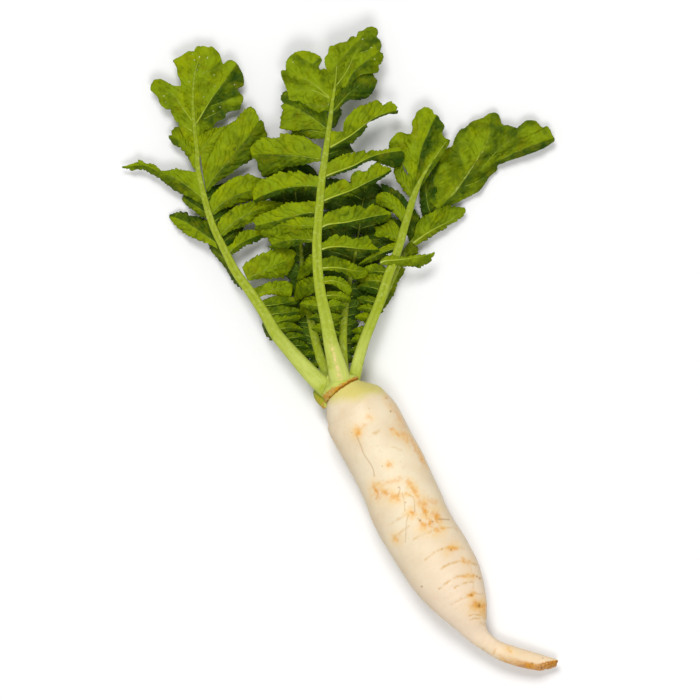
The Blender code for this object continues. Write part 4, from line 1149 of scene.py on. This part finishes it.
def leaflet(stalk, row, steps, across, seed):
    """A leaflet's points, with the rib in its middle column, and the values for its colours.

    A point is rib + |u| (edge - rib), with s along the rib and u from -1 at the near edge to 1 at
    the far edge. Its height falls from the rib by distance times the tangent of the half's fall.
    """
    tip_height, falls, painted_light_tones = row[3:6]
    lift = row[6] * MM if len(row) > 6 else 0.0
    rib, far, near = (smooth_line(plan(line), steps + 1) for line in row[:3])
    start = stalk[np.argmin(np.linalg.norm(stalk[:, :2] - rib[0], axis=1)), 2] + lift
    s = np.linspace(0, 1, steps + 1)[:, None]
    u = np.linspace(-1, 1, 2 * across + 1)[None, :]
    length = run_along(rib)[-1]
    to_edge = np.where(u[..., None] > 0, (far - rib)[:, None], (near - rib)[:, None])
    span = np.linalg.norm(to_edge, axis=-1)
    outward = to_edge / np.maximum(span, 1e-6)[..., None]
    width = span * np.abs(u)
    out = s * length + 0 * u
    size = np.minimum(span.max() / (9 * MM), 1)
    taper = np.sin(np.pi * s)
    cut = 1.1 * MM * (0.35 + 0.65 * size) * u**4 * taper**0.3
    width_cut = teeth(out + 0.3 * length * (u > 0), TOOTH_GAP * (0.6 + 0.4 * size), seed) * cut
    flat = rib[:, None] + outward * (width + width_cut)[..., None]
    last_step = rib[-1] - rib[-2]
    across_tip = np.array([-last_step[1], last_step[0]]) / np.linalg.norm(last_step)
    across_tip *= np.sign(across_tip @ (far - rib)[steps // 2])
    flat += (0.25 * MM * s**12 * u)[..., None] * across_tip
    held = soft_step(s, 0.0, 0.16)
    slope = np.tan(np.radians(np.where(u > 0, falls[0], falls[1])))
    rise = start + s * (tip_height * MM - start) + 0.24 * length * s * (1 - s)
    wave = 1.0 * MM * size * u**2 * ripples(out, np.sign(u) * 50 * MM, 15 * MM, seed + 2)
    ruffle = 0.9 * MM * size * np.abs(u) ** 3 * ripples(out, np.sign(u) * 40 * MM, 7 * MM, seed + 6)
    lumps = 0.7 * MM * size * np.abs(u) * ripples(flat[..., 0], flat[..., 1], 13 * MM, seed + 5)
    height = rise - held * width * slope * (0.75 + 0.35 * np.abs(u))
    height += (wave + ruffle + lumps) * taper
    points = np.dstack([flat, height])
    gap = np.clip(length / 6, 3.0 * MM, 7.0 * MM)
    count = side_veins(out, width, gap, seed + 3)
    reach = soft_step(width, 0.4 * MM, 2.5 * MM) * taper**0.5
    relief = 0.65 * MM * size * reach * (puckers(count) - 0.5)
    relief += 0.45 * MM * reach * ripples(points[..., 0], points[..., 1], 4.5 * MM, seed + 4)
    relief -= 0.45 * MM * hill(width, 0.9 * MM) * (1 - s)
    points += relief[..., None] * sheet_normals(points)
    points[..., 2] = np.maximum(points[..., 2], LOWEST)
    values = {
        "veins": count,
        "reach": reach * (1 - 0.45 * soft_step(width, 6 * MM, 14 * MM)),
        "rib_gap": width / MM,
        # Painted light and shade: each half's own tone
        "painted_light_tone": np.where(u > 0, painted_light_tones[0], painted_light_tones[1]) + 0 * s,
        "fleck": 0 * out,
    }
    return {
        "points": points.reshape(-1, 3),
        "faces": grid_faces(*out.shape).tolist(),
        "values": {name: np.broadcast_to(v, out.shape).ravel() for name, v in values.items()},
        "rib": points[:, across],
    }


def plain_leaflet(foot, tip, tip_height, far_width, near_width, bow, falls, painted_light_tones, toward):
    """A row for `leaflet` by formula: a bowed rib, and edges that widen, then close bluntly."""
    foot, tip = np.array(foot, float), np.array(tip, float)
    chord = tip - foot
    side = np.array([-chord[1], chord[0]]) / np.linalg.norm(chord)
    side *= np.sign(side @ toward)
    s = np.array([0.0, 0.15, 0.35, 0.55, 0.75, 0.9, 1.0])[:, None]
    full = np.array([0.50, 0.85, 1.0, 0.88, 0.62, 0.34, 0.04])[:, None]
    rib = foot + s * chord + 4 * s * (1 - s) * bow * side
    lean = 0.25 * full * (1 - s) * chord / np.linalg.norm(chord)
    far = rib + full * far_width * side + lean * far_width
    near = rib - full * near_width * side + lean * near_width
    return rib, far, near, tip_height, falls, painted_light_tones


def small_rows(stalk_grid, rule, draw, wider):
    """Rows for the small leaflets down a stalk, spread by the leaf's rule and a bit shaken."""
    first, last, count, long, short, drop, sides = rule
    line = smooth_line(stalk_grid, 200)
    toward = line[-1, :2] - line[0, :2]
    line = line[np.argsort(line[:, 1])]
    rows = []
    for side in sides:
        for share in np.linspace(0, 1, count):
            at = first + share * (last - first) + draw.uniform(-1.5, 1.5)
            x, height = (np.interp(at, line[:, 1], line[:, column]) for column in (0, 2))
            length = (long + share * (short - long)) * draw.uniform(0.88, 1.1)
            rise = draw.uniform(0.0, 0.22) * length
            width = wider * (0.14 * length + draw.uniform(2.0, 3.4))
            painted_light_tone = draw.uniform(-0.45, 0.3)
            tip, tip_height = (x - side * length, at - rise), height - drop * draw.uniform(0.8, 1.1)
            bow = draw.uniform(-1, 3)
            # Painted shade: the near half is half a tone darker
            shape = (tip_height, width, 0.9 * width, bow, (12, 35), (painted_light_tone, painted_light_tone - 0.5))
            rows.append(plain_leaflet((x, at), tip, *shape, toward))
    return rows


# %% [markdown]
# ## The end blade as rings of points
# The blade at the end of a leaf has lobes, so no single rib gives its shape. Its points lie on
# rings between a middle point and the measured outline, like the rings of a spider's web. Each
# vein has its own height, and the blade falls away from its left and right side by their own
# slopes, so it folds along the veins. Each side of a vein also has a tone, which paints light and
# shade into the colour. A point's height and tone are a blend of what the nearby veins ask for.
# Distance along and from the nearest vein gives the side veins.

# %% End blade sheets
EDGE_STEP = 0.85 * MM
EDGE_TOOTH_GAP = 3.1 * MM
BLADE_VEIN_GAP = 6.0 * MM


def vein_frame(points, veins):
    """Blended height and painted light tone at plan points, distance along the nearest vein, and
    from it.
    """
    total, painted_light_tones, weights = 0, 0, 0
    nearest_gap, run_there = np.full(len(points), 1.0), np.zeros(len(points))
    for number, (vein, fall, painted_light_tone) in enumerate(veins):
        line = plan_line(vein, 60)
        run = run_along(line)
        away = points[:, None] - line[None, :, :2]
        gap = np.linalg.norm(away, axis=2)
        nearest = gap.argmin(axis=1)
        gap = gap.min(axis=1)
        along = np.gradient(line[:, :2], axis=0)[nearest]
        off = away[np.arange(len(points)), nearest]
        left = along[:, 0] * off[:, 1] - along[:, 1] * off[:, 0]
        right_share = 0.5 - 0.5 * np.tanh(left / np.linalg.norm(along, axis=1) / (0.5 * MM))
        weight = 1 / (gap**2 + (0.8 * MM) ** 2)
        slope = fall[0] + (fall[1] - fall[0]) * right_share
        total = total + weight * (line[nearest, 2] - slope * np.minimum(gap, 9 * MM))
        painted_light_tones = painted_light_tones + weight * (painted_light_tone[0] + (painted_light_tone[1] - painted_light_tone[0]) * right_share)
        weights = weights + weight
        closer = gap < nearest_gap
        run_there = np.where(closer, run[nearest] + 31 * MM * number, run_there)
        nearest_gap = np.minimum(nearest_gap, gap)
    return total / weights, painted_light_tones / weights, run_there, nearest_gap


def end_blade(blade, rings, flecks, seed):
    """The lobed blade's points, ring by ring, and the values for its colours.

    A point is middle + share (edge - middle), where share grows from 0 to 1 from ring to ring.
    """
    middle = plan(blade["middle"])
    edge = smooth_loop(plan(blade["edge"]), EDGE_STEP)
    count = len(edge)
    run = np.arange(count) * EDGE_STEP
    radial = edge - middle
    far = np.linalg.norm(radial, axis=1, keepdims=True)
    even_share = np.linspace(0, 1, rings + 1)[1:, None]
    share = 1 - (1 - even_share) ** 1.15
    cut = radial / far * 0.35 * MM * teeth(run, EDGE_TOOTH_GAP, seed)[:, None]
    flat = middle + radial[None] * share[..., None] + cut[None] * even_share[..., None] ** 4
    flat = np.vstack([np.broadcast_to(middle, (1, count, 2)), flat])
    frame_values = vein_frame(flat.reshape(-1, 2), blade["veins"])
    height, painted_light_tone, out, gap = (v.reshape(rings + 1, count) for v in frame_values)
    edge_share = np.vstack([[[0.0]], share])
    ruffle = 1.1 * MM * edge_share**4 * ripples(run[None] + 0 * out, 0 * out, 12 * MM, seed + 1)
    lumps = 0.9 * MM * edge_share * ripples(flat[..., 0], flat[..., 1], 14 * MM, seed + 2)
    points = np.dstack([flat, height + ruffle + lumps])
    veins = side_veins(out, gap, BLADE_VEIN_GAP, seed + 3)
    reach = soft_step(gap, 0.5 * MM, 3.0 * MM) * (1 - edge_share**6)
    relief = 0.9 * MM * reach * (puckers(veins) - 0.5)
    relief += 0.4 * MM * ripples(flat[..., 0], flat[..., 1], 4.5 * MM, seed + 4) * reach
    relief -= 0.4 * MM * hill(gap, 1.0 * MM)
    ringed = np.concatenate([points[:, -1:], points, points[:, :1]], axis=1)
    points += relief[..., None] * sheet_normals(ringed)[:, 1:-1]
    points[..., 2] = np.maximum(points[..., 2], LOWEST)
    fleck = 0 * gap
    for spot in flecks:
        away = np.linalg.norm(flat - plan(spot), axis=-1)
        fleck = np.maximum(fleck, hill(away, 0.55 * MM))
    values = {
        "veins": veins,
        "reach": 0.45 * reach,
        "rib_gap": gap / MM,
        # Painted light and shade from the veins' tones
        "painted_light_tone": painted_light_tone,
        "fleck": fleck,
    }
    index = np.arange((rings + 1) * count).reshape(rings + 1, count)
    after = np.roll(index, -1, axis=1)
    quads = np.stack([index[1:-1], index[2:], after[2:], after[1:-1]], axis=-1).reshape(-1, 4)
    centre = np.stack([np.zeros(count, int), index[1], after[1]], axis=-1)
    keep = np.r_[0, np.arange(count, (rings + 1) * count)]
    renumber = np.zeros((rings + 1) * count, int)
    renumber[keep] = np.arange(len(keep))
    return {
        "points": points.reshape(-1, 3)[keep],
        "faces": [*renumber[quads].tolist(), *renumber[centre].tolist()],
        "values": {name: v.ravel()[keep] for name, v in values.items()},
    }


# %% [markdown]
# ## Stalks and ribs
# A stalk is round below and has a shallow channel on top, and fine ridges run along it. It is
# pale at the crown and grows greener outwards. A leaflet's rib is a thin tube that leaves the
# stalk pale and sinks into the blade's colour. Pale ribs are on some leaflets of the middle and
# right leaves; on the others the rib is painted deep green, as the shade of the crease it lies in.
# All of one leaf's tubes share a mesh. A tube could be a curve with a bevel, but rings of points
# can also dip into the channel and hold values.

# %% Stalk and rib tubes
def tube_part(line, radius, angles, values):
    """A closed tube as a part. Its two end points take the values of the first and last ring."""
    ends = {name: np.append(v.ravel(), [v[0, 0], v[-1, 0]]) for name, v in values.items()}
    faces = tube_faces(len(line), len(angles))
    return {"points": tube_points(line, radius, angles), "faces": faces, "values": ends}


def stalk_tube(line, channel, sides, seed, scar=0.25, greener_and_painted_shade=1.0, dry=0.0, foot=0.0):
    """A stalk: the radius dips by `channel` round the top, and has fine ridges along it.

    The greening and `foot` deepen its green outwards and near the crown, and a greening past 1.1
    paints shade, turning it deep green. `scar` and `dry` are the strengths of the tan crumbs at its
    foot and of a dry streak in the channel.
    """
    angles = np.linspace(0, 2 * np.pi, sides, endpoint=False)
    from_top = np.minimum(angles, 2 * np.pi - angles)[None]
    out = np.linspace(0, 1, len(line))[:, None]
    run = run_along(line)[:, None]
    dip = channel * hill(from_top, 0.5) * (1 - 0.5 * out)
    shoulders = 0.5 * channel * hill(from_top - 1.0, 0.45)
    ridges = 0.010 * np.cos(9 * angles[None] + 2 * ripples(out, angles[None] * 0, 0.6, seed))
    radius = line[:, 3:4] * (1 - dip + shoulders + ridges)
    full = np.ones_like(radius)
    dry_stretch = soft_step(run, 8 * MM, 16 * MM) * (1 - soft_step(run, 36 * MM, 50 * MM))
    values = {
        "groove": hill(from_top, 0.42) * full,
        "green": (greener_and_painted_shade * out + foot * (1 - soft_step(run, 5 * MM, 26 * MM))) * full,
        "angle": angles[None] * full,
        "run": run / MM * full,
        "scar": scar * hill(run, 9 * MM) * full,
        "dry": dry * hill(from_top, 0.22) * dry_stretch,
    }
    return tube_part(line, radius, angles, values)


def rib_tube(line, thick, thin, green_from, green_to, sides=6):
    """A tapering rib along a line of points, greener towards its end."""
    angles = np.linspace(0, 2 * np.pi, sides, endpoint=False)
    full = np.ones((len(line), sides))
    radius = np.linspace(thick, thin, len(line))[:, None] * full
    green = np.linspace(green_from, green_to, len(line))[:, None] * full
    values = {name: 0 * full for name in ("groove", "angle", "run", "scar", "dry")}
    return tube_part(line, radius, angles, values | {"green": green})


# %% [markdown]
# ## Leaf and stalk colours
# Daikon leaves are yellow-green. Light and shade are painted into that colour: each leaflet half
# and each side of a vein has a tone, from painted shade in deep olive in the folds to painted light
# in bright yellow-green where light comes through, and a painted grey sheen on the lit parts stands
# for the waxy skin mirroring the sky. Side veins and random folds are painted as thin dark creases
# of shade, and a bump quilts the blade between the veins. Finer wrinkles are a bump from cell-like
# noise. Stalks are pale, with olive patches, a speckled waxy bloom, and a dry peach streak on one
# of them, and where their green runs high it is painted deep green as shade.

# %% Leaf material
# The greens run from painted deep shade to painted light, and the bloom colour is a painted grey
# sheen. The SHADE colours are a darker copy, painted shade for the inner leaves.
DEEP = screen(40, 66, 8)
OLIVE = screen(93, 110, 0)
BRIGHT = screen(137, 152, 0)
PAINTED_SHEEN = screen(124, 146, 12)
SHADE_DEEP = screen(24, 48, 14)
SHADE_OLIVE = screen(58, 82, 8)
SHADE_BRIGHT = screen(92, 114, 4)
SHADE_PAINTED_SHEEN = screen(84, 112, 34)
LEAF_TAN = screen(142, 124, 0)
FLECK_PALE = screen(214, 220, 180)


def leaf_material(name, deep, olive, bright, painted_sheen):
    """Leaf skin: greens by tone and noise with painted light and shade, a painted grey sheen,
    painted crease shade, flecks and fine relief.
    """
    material, tree, shader = new_material(name, Roughness=0.55, Specular_IOR_Level=0.06)
    cloud = ramp(tree, noise(tree, 5 * MM, 4), 0.30, 0.70, -0.42, 0.46)
    grain = ramp(tree, noise(tree, 1.6 * MM, 3), 0.30, 0.70, -0.15, 0.15)
    # Painted light and shade: the tone of each half or vein side, with random cloud and grain
    painted_light_tone = maths(tree, "ADD", maths(tree, "ADD", cloud, grain), point_value(tree, "painted_light_tone"))
    colour = mix(tree, ramp(tree, painted_light_tone, -0.9, -0.05), deep, olive)
    colour = mix(tree, ramp(tree, painted_light_tone, -0.05, 0.65), colour, bright)
    # Painted sheen: a grey reflection of the sky, on the lit parts and near the ribs
    painted_sheen_share = ramp(tree, noise(tree, 7 * MM, 4), 0.44, 0.62, 0.0, 0.80)
    painted_sheen_near_rib = ramp(tree, point_value(tree, "rib_gap"), 0.0, 7.0, 0.22, 0.0)
    where_lit = ramp(tree, painted_light_tone, -0.5, 0.3, 0.1, 1.0)
    painted_sheen_share = maths(tree, "MULTIPLY", maths(tree, "ADD", painted_sheen_share, painted_sheen_near_rib), where_lit)
    colour = mix(tree, painted_sheen_share, colour, painted_sheen)
    tan = ramp(tree, noise(tree, 4 * MM, 3), 0.54, 0.70, 0.0, 0.45)
    colour = mix(tree, tan, colour, mix(tree, 0.4, olive, LEAF_TAN))
    count = point_value(tree, "veins")
    to_vein = maths(tree, "ABSOLUTE", maths(tree, "SUBTRACT", count, maths(tree, "ROUND", count)))
    # Painted shade: thin dark creases along the side veins
    line = ramp(tree, to_vein, 0.015, 0.06, 0.65, 0.0)
    line = maths(tree, "MULTIPLY", line, point_value(tree, "reach"))
    colour = mix(tree, line, colour, deep)
    fold = maths(tree, "ABSOLUTE", maths(tree, "SUBTRACT", noise(tree, 6 * MM, 3), 0.5))
    # Painted shade: thin dark lines along random folds
    colour = mix(tree, ramp(tree, fold, 0.0, 0.014, 0.10, 0.0), colour, deep)
    flecks = ramp(tree, point_value(tree, "fleck"), 0.25, 0.8, 0.0, 0.8)
    colour = mix(tree, flecks, colour, FLECK_PALE)
    tree.links.new(colour, shader.inputs["Base Color"])
    where = add(tree, "TexCoord").outputs["Object"]
    size = {"Vector": where, "Scale": 1 / (2.4 * MM)}
    cells = add(tree, "TexVoronoi", size, feature="SMOOTH_F1").outputs[0]
    quilt = maths(tree, "MULTIPLY", ramp(tree, to_vein, 0.0, 0.30), point_value(tree, "reach"))
    quilted = bump(tree, shader, quilt, 0.9 * MM, 0.45)
    folds = bump(tree, shader, ramp(tree, fold, 0.0, 0.08), 0.4 * MM, 0.4, quilted)
    wrinkles = bump(tree, shader, cells, 0.6 * MM, 0.9, folds)
    bump(tree, shader, noise(tree, 0.8 * MM, 3), 0.15 * MM, 0.6, wrinkles)
    return material


leaf_green = leaf_material("leaf_skin_bright", DEEP, OLIVE, BRIGHT, PAINTED_SHEEN)
# Painted shade: a darker copy of the leaf skin for the inner leaves, which lie under the others
leaf_painted_shade = leaf_material("leaf_skin_painted_shade", SHADE_DEEP, SHADE_OLIVE, SHADE_BRIGHT, SHADE_PAINTED_SHEEN)
print("leaf materials:", leaf_green.name, "and", leaf_painted_shade.name)

# %% Stalk material
PALE_STALK = screen(202, 210, 112)
MID_STALK = screen(158, 173, 46)
END_STALK = screen(120, 140, 22)
GROOVE_OLIVE = screen(128, 142, 0)
PATCH_OLIVE = screen(146, 162, 4)
WAX_PALE = screen(184, 198, 100)
DRY_PEACH = screen(232, 202, 140)
SCAR_TAN = screen(180, 132, 44)

pulp = {"Subsurface_Weight": 0.08, "Subsurface_Scale": 0.003, "Specular_IOR_Level": 0.12}
stalk_green, tree, shader = new_material("stalk_skin", Roughness=0.45, **pulp)
shader.inputs["Subsurface Radius"].default_value = (0.6, 1.0, 0.2)
green = point_value(tree, "green")
colour = mix(tree, ramp(tree, green, 0.0, 0.30), PALE_STALK, MID_STALK)
colour = mix(tree, ramp(tree, green, 0.45, 1.0), colour, END_STALK)
# Painted shade: a green above 1.1 darkens to deep green, on the inner stalks under the other leaves
# and on the dark ribs that lie in creases
colour = mix(tree, ramp(tree, green, 1.1, 1.5), colour, DEEP)
angle = point_value(tree, "angle")
sine, cosine = maths(tree, "SINE", angle), maths(tree, "COSINE", angle)
run = maths(tree, "MULTIPLY", point_value(tree, "run"), 0.02)
wrap = add(tree, "CombineXYZ", {0: sine, 1: cosine, 2: run}).outputs[0]
settings = {"Vector": wrap, "Scale": 3.5, "Detail": 4.0, "Roughness": 0.6}
streaks = add(tree, "TexNoise", settings).outputs["Fac"]
colour = mix(tree, ramp(tree, streaks, 0.45, 0.70, 0.0, 0.28), colour, GROOVE_OLIVE)
past_foot = ramp(tree, green, 0.14, 0.40, 0.0, 0.9)
groove = maths(tree, "MULTIPLY", point_value(tree, "groove"), past_foot)
colour = mix(tree, groove, colour, GROOVE_OLIVE)
patches = ramp(tree, noise(tree, 5 * MM, 4), 0.50, 0.68, 0.0, 0.6)
patches = maths(tree, "MULTIPLY", patches, ramp(tree, green, 0.02, 0.10))
colour = mix(tree, patches, colour, PATCH_OLIVE)
colour = mix(tree, ramp(tree, noise(tree, 1.3 * MM, 4), 0.50, 0.66, 0.0, 0.4), colour, WAX_PALE)
torn = ramp(tree, noise(tree, 1.2 * MM, 3), 0.40, 0.55, 0.2, 1.0)
colour = mix(tree, maths(tree, "MULTIPLY", point_value(tree, "dry"), torn), colour, DRY_PEACH)
crumbs = ramp(tree, noise(tree, 1.8 * MM, 4), 0.42, 0.56)
colour = mix(tree, maths(tree, "MULTIPLY", point_value(tree, "scar"), crumbs), colour, SCAR_TAN)
tree.links.new(colour, shader.inputs["Base Color"])
fine = bump(tree, shader, streaks, 0.15 * MM, 0.5)
bump(tree, shader, noise(tree, 0.6 * MM, 2), 0.08 * MM, 0.5, fine)
print("stalk material:", stalk_green.name)

# %% [markdown]
# ## Building the leaves
# One loop builds all the leaves. Each becomes two pieces: the stalk with its ribs, and the blades,
# which get their thickness from a Solidify modifier. Both stand for the leaf's solid. Pale flecks,
# where grit scraped the skin, are given by their grid points.

# %% Leaves
CHANNEL = {"leaf_middle": 0.20, "leaf_left": 0.14, "leaf_right": 0.14}
PALE_RIBS = ("leaf_middle", "leaf_right", "leaf_far_right")
INNER = ("leaf_inner_left", "leaf_inner_right", "leaf_stub")
# On the inner leaves the greening runs past 1.1, which paints shade: their stalks turn deep green
STALK_LOOK = {
    "leaf_left": {"foot": 0.24},
    "leaf_middle": {"dry": 1.0},
    "leaf_right": {"foot": 0.24},
    "leaf_far_right": {"greener_and_painted_shade": 1.7},
    "leaf_inner_left": {"greener_and_painted_shade": 2.0},
    "leaf_inner_right": {"greener_and_painted_shade": 2.0},
    "leaf_stub": {"scar": 1.0},
}
FLECKS = {
    "leaf_left": [
        (207.5, 58), (192, 54), (194.5, 60), (199.5, 57), (199, 65), (197, 70), (189, 74),
        (189, 81.5), (214, 75), (214.5, 87), (234.5, 84.5), (204, 97), (166, 102), (164, 96),
        (213, 111), (220, 107),
    ],
    "leaf_middle": [
        (362.5, 39.5), (371.5, 48), (374.5, 59.5), (361.5, 75.5), (293.5, 62.5), (328.5, 104.5),
        (321, 116.5), (290, 124), (313, 125),
    ],
}
CROWN_END = 82 * MM
BLADE_THICK = 0.55 * MM
STALK_ROWS, STALK_SIDES = 200, 24
HALF_COLUMNS, SMALL_HALF_COLUMNS, SMALL_STEPS = 11, 6, 26
BLADE_RINGS = 34


def laid_on(points, line):
    """The line 0.15 mm above the sheet's nearest points, their heights averaged over seven."""
    nearest = np.linalg.norm(points[None, :, :2] - line[:, None, :2], axis=2).argmin(axis=1)
    height = np.convolve(np.pad(points[nearest, 2], 3, "edge"), np.ones(7) / 7, "valid")
    return np.column_stack([line[:, :2], height + 0.15 * MM])


def leaf_pieces(name, draw, seed):
    """The tubes and sheets of one leaf."""
    grid = STALKS[name]
    toward = np.subtract(grid[-1], grid[0])[:2]
    fine = plan_line(grid, 120)
    stalk = plan_line(grid, STALK_ROWS)
    stalk = stalk[stalk[:, 1] > CROWN_END]
    tubes = [stalk_tube(stalk, CHANNEL.get(name, 0.08), STALK_SIDES, seed, **STALK_LOOK[name])]
    sheets = []
    # Painted shade: the extra leaflets under the left and right leaves are deep shade green
    under_painted_shade = (0.0, -0.2) if name in INNER else (-1.1, -1.3)
    inner = [plain_leaflet(*row, (10, 15), under_painted_shade, toward) for row in INNER_LEAFLETS.get(name, [])]
    for number, row in enumerate(LEAFLETS.get(name, []) + inner):
        rib_steps = np.subtract(row[0][-1], row[0][0])
        steps = int(np.clip(np.hypot(*rib_steps) * 1.05, 20, 84))
        sheet = leaflet(fine, row, steps, HALF_COLUMNS, seed + 10 * number)
        sheets.append(sheet)
        pale = rib_steps[0] > 0 and row[5][0] > -0.6 and name in PALE_RIBS
        thick = (0.80 if pale else 0.50) * MM * np.clip(np.hypot(*rib_steps) / 45, 0.5, 1.0)
        # Ribs that are not pale are painted deep green, as shade in the crease they lie in
        greens = (0.15, 1.1) if pale else (1.0, 1.6)
        rib = sheet["rib"][: int(0.95 * steps)] + [0, 0, 0.2 * MM]
        tubes.append(rib_tube(even_spacing(rib, 30), thick, 0.2 * thick, *greens))
    wider = 1.4 if name in INNER else 1.0
    rules = SMALL_LEAFLETS.get(name, [])
    small = [row for rule in rules for row in small_rows(grid, rule, draw, wider)]
    for number, row in enumerate(small):
        sheet = leaflet(fine, row, SMALL_STEPS, SMALL_HALF_COLUMNS, seed + 500 + 10 * number)
        sheets.append(sheet)
        rib = sheet["rib"][: SMALL_STEPS - 3] + [0, 0, 0.15 * MM]
        tubes.append(rib_tube(even_spacing(rib, 12), 0.4 * MM, 0.12 * MM, 0.4, 1.1, 5))
    for number, blade in enumerate(END_BLADES.get(name, [])):
        sheet = end_blade(blade, BLADE_RINGS, FLECKS.get(name, []), seed + 900 + number)
        sheets.append(sheet)
        for vein, _, _ in blade["veins"][1:]:
            line = laid_on(sheet["points"], plan_line(vein, 40)[:36])
            gaps = [np.linalg.norm(fine[:, :2] - line[at, :2], axis=1).min() for at in (0, 20)]
            if gaps[1] < 1.5 * MM:
                continue
            joined = gaps[0] < 3 * MM
            thick = (0.65 if joined else 0.38) * MM
            tubes.append(rib_tube(line, thick, 0.15 * MM, 0.45 if joined else 1.15, 1.4))
    return tubes, sheets


draw = np.random.default_rng(7)
for number, name in enumerate(STALKS):
    tubes, sheets = leaf_pieces(name, draw, 1000 * (number + 1))
    mesh_piece(name + "_stalk", join(tubes), stalk_green, name)
    if sheets:
        # Painted shade: the inner leaves' blades take the darker copy
        blade_skin = leaf_painted_shade if name in INNER else leaf_green
        mesh_piece(name + "_blades", join(sheets), blade_skin, name, BLADE_THICK)

# %% [markdown]
# ## Floor, light and camera
# The vegetable lies on a plain pale table in soft daylight from one side. A wide lamp beyond the
# leaf tips lights the upper sides of the leaves and lets soft shadows fall towards the tail. The
# camera looks straight down, turned so that the measuring grid fills the frame. It stands far off
# with a long lens, because the grid has no perspective.

# %% Stage
FRAME_STEPS = 700
FRAME_MIDDLE = (350, 350)
CAMERA_HEIGHT = 6.0
SENSOR = 36.0
GRID_LEVEL = 0.015

floor_mesh = bpy.data.meshes.new("table_top")
floor_mesh.from_pydata([(-3, -3, 0), (3, -3, 0), (3, 3, 0), (-3, 3, 0)], [], [(0, 1, 2, 3)])
floor = place(bpy.data.objects.new("table_top", floor_mesh))
white, tree, shader = new_material("table_white", Roughness=0.7, Specular_IOR_Level=0.2)
shader.inputs["Base Color"].default_value = (0.86, 0.86, 0.86, 1.0)
floor_mesh.materials.append(white)

world = bpy.data.worlds.new("soft_daylight")
world.use_nodes = True
sky = world.node_tree.nodes["Background"]
sky.inputs["Color"].default_value = (1.0, 1.0, 1.0, 1.0)
sky.inputs["Strength"].default_value = 0.39
bpy.context.scene.world = world


def soft_lamp(name, side, up, height, size, power):
    """A square lamp, placed along the grid's right and up, and aimed at the frame's middle."""
    centre = plan(FRAME_MIDDLE)
    spot = np.append(centre + GRID_RIGHT * side + GRID_UP * up, height)
    lamp = bpy.data.lights.new(name, "AREA")
    lamp.size, lamp.energy = size, power
    obj = place(bpy.data.objects.new(name, lamp))
    obj.location = spot
    aim = np.append(centre, 0.0) - spot
    obj.rotation_mode = "QUATERNION"
    obj.rotation_quaternion = mathutils.Vector(aim).to_track_quat("-Z", "Y")


soft_lamp("window_light", side=-0.6, up=2.3, height=4.6, size=1.7, power=152.0)
soft_lamp("overhead_light", side=0.2, up=-1.0, height=2.6, size=1.0, power=27.0)

camera = place(bpy.data.objects.new("camera", bpy.data.cameras.new("camera")))
camera.data.sensor_width = SENSOR
camera.data.lens = SENSOR * CAMERA_HEIGHT / (FRAME_STEPS * STEP)
camera.data.clip_end = 100.0
camera.location = (*plan(FRAME_MIDDLE), CAMERA_HEIGHT + GRID_LEVEL)
camera.rotation_euler = (0.0, 0.0, GRID_TURN)
bpy.context.scene.camera = camera
bpy.context.scene.view_settings.view_transform = "Standard"
print("camera lens", round(camera.data.lens), "mm")
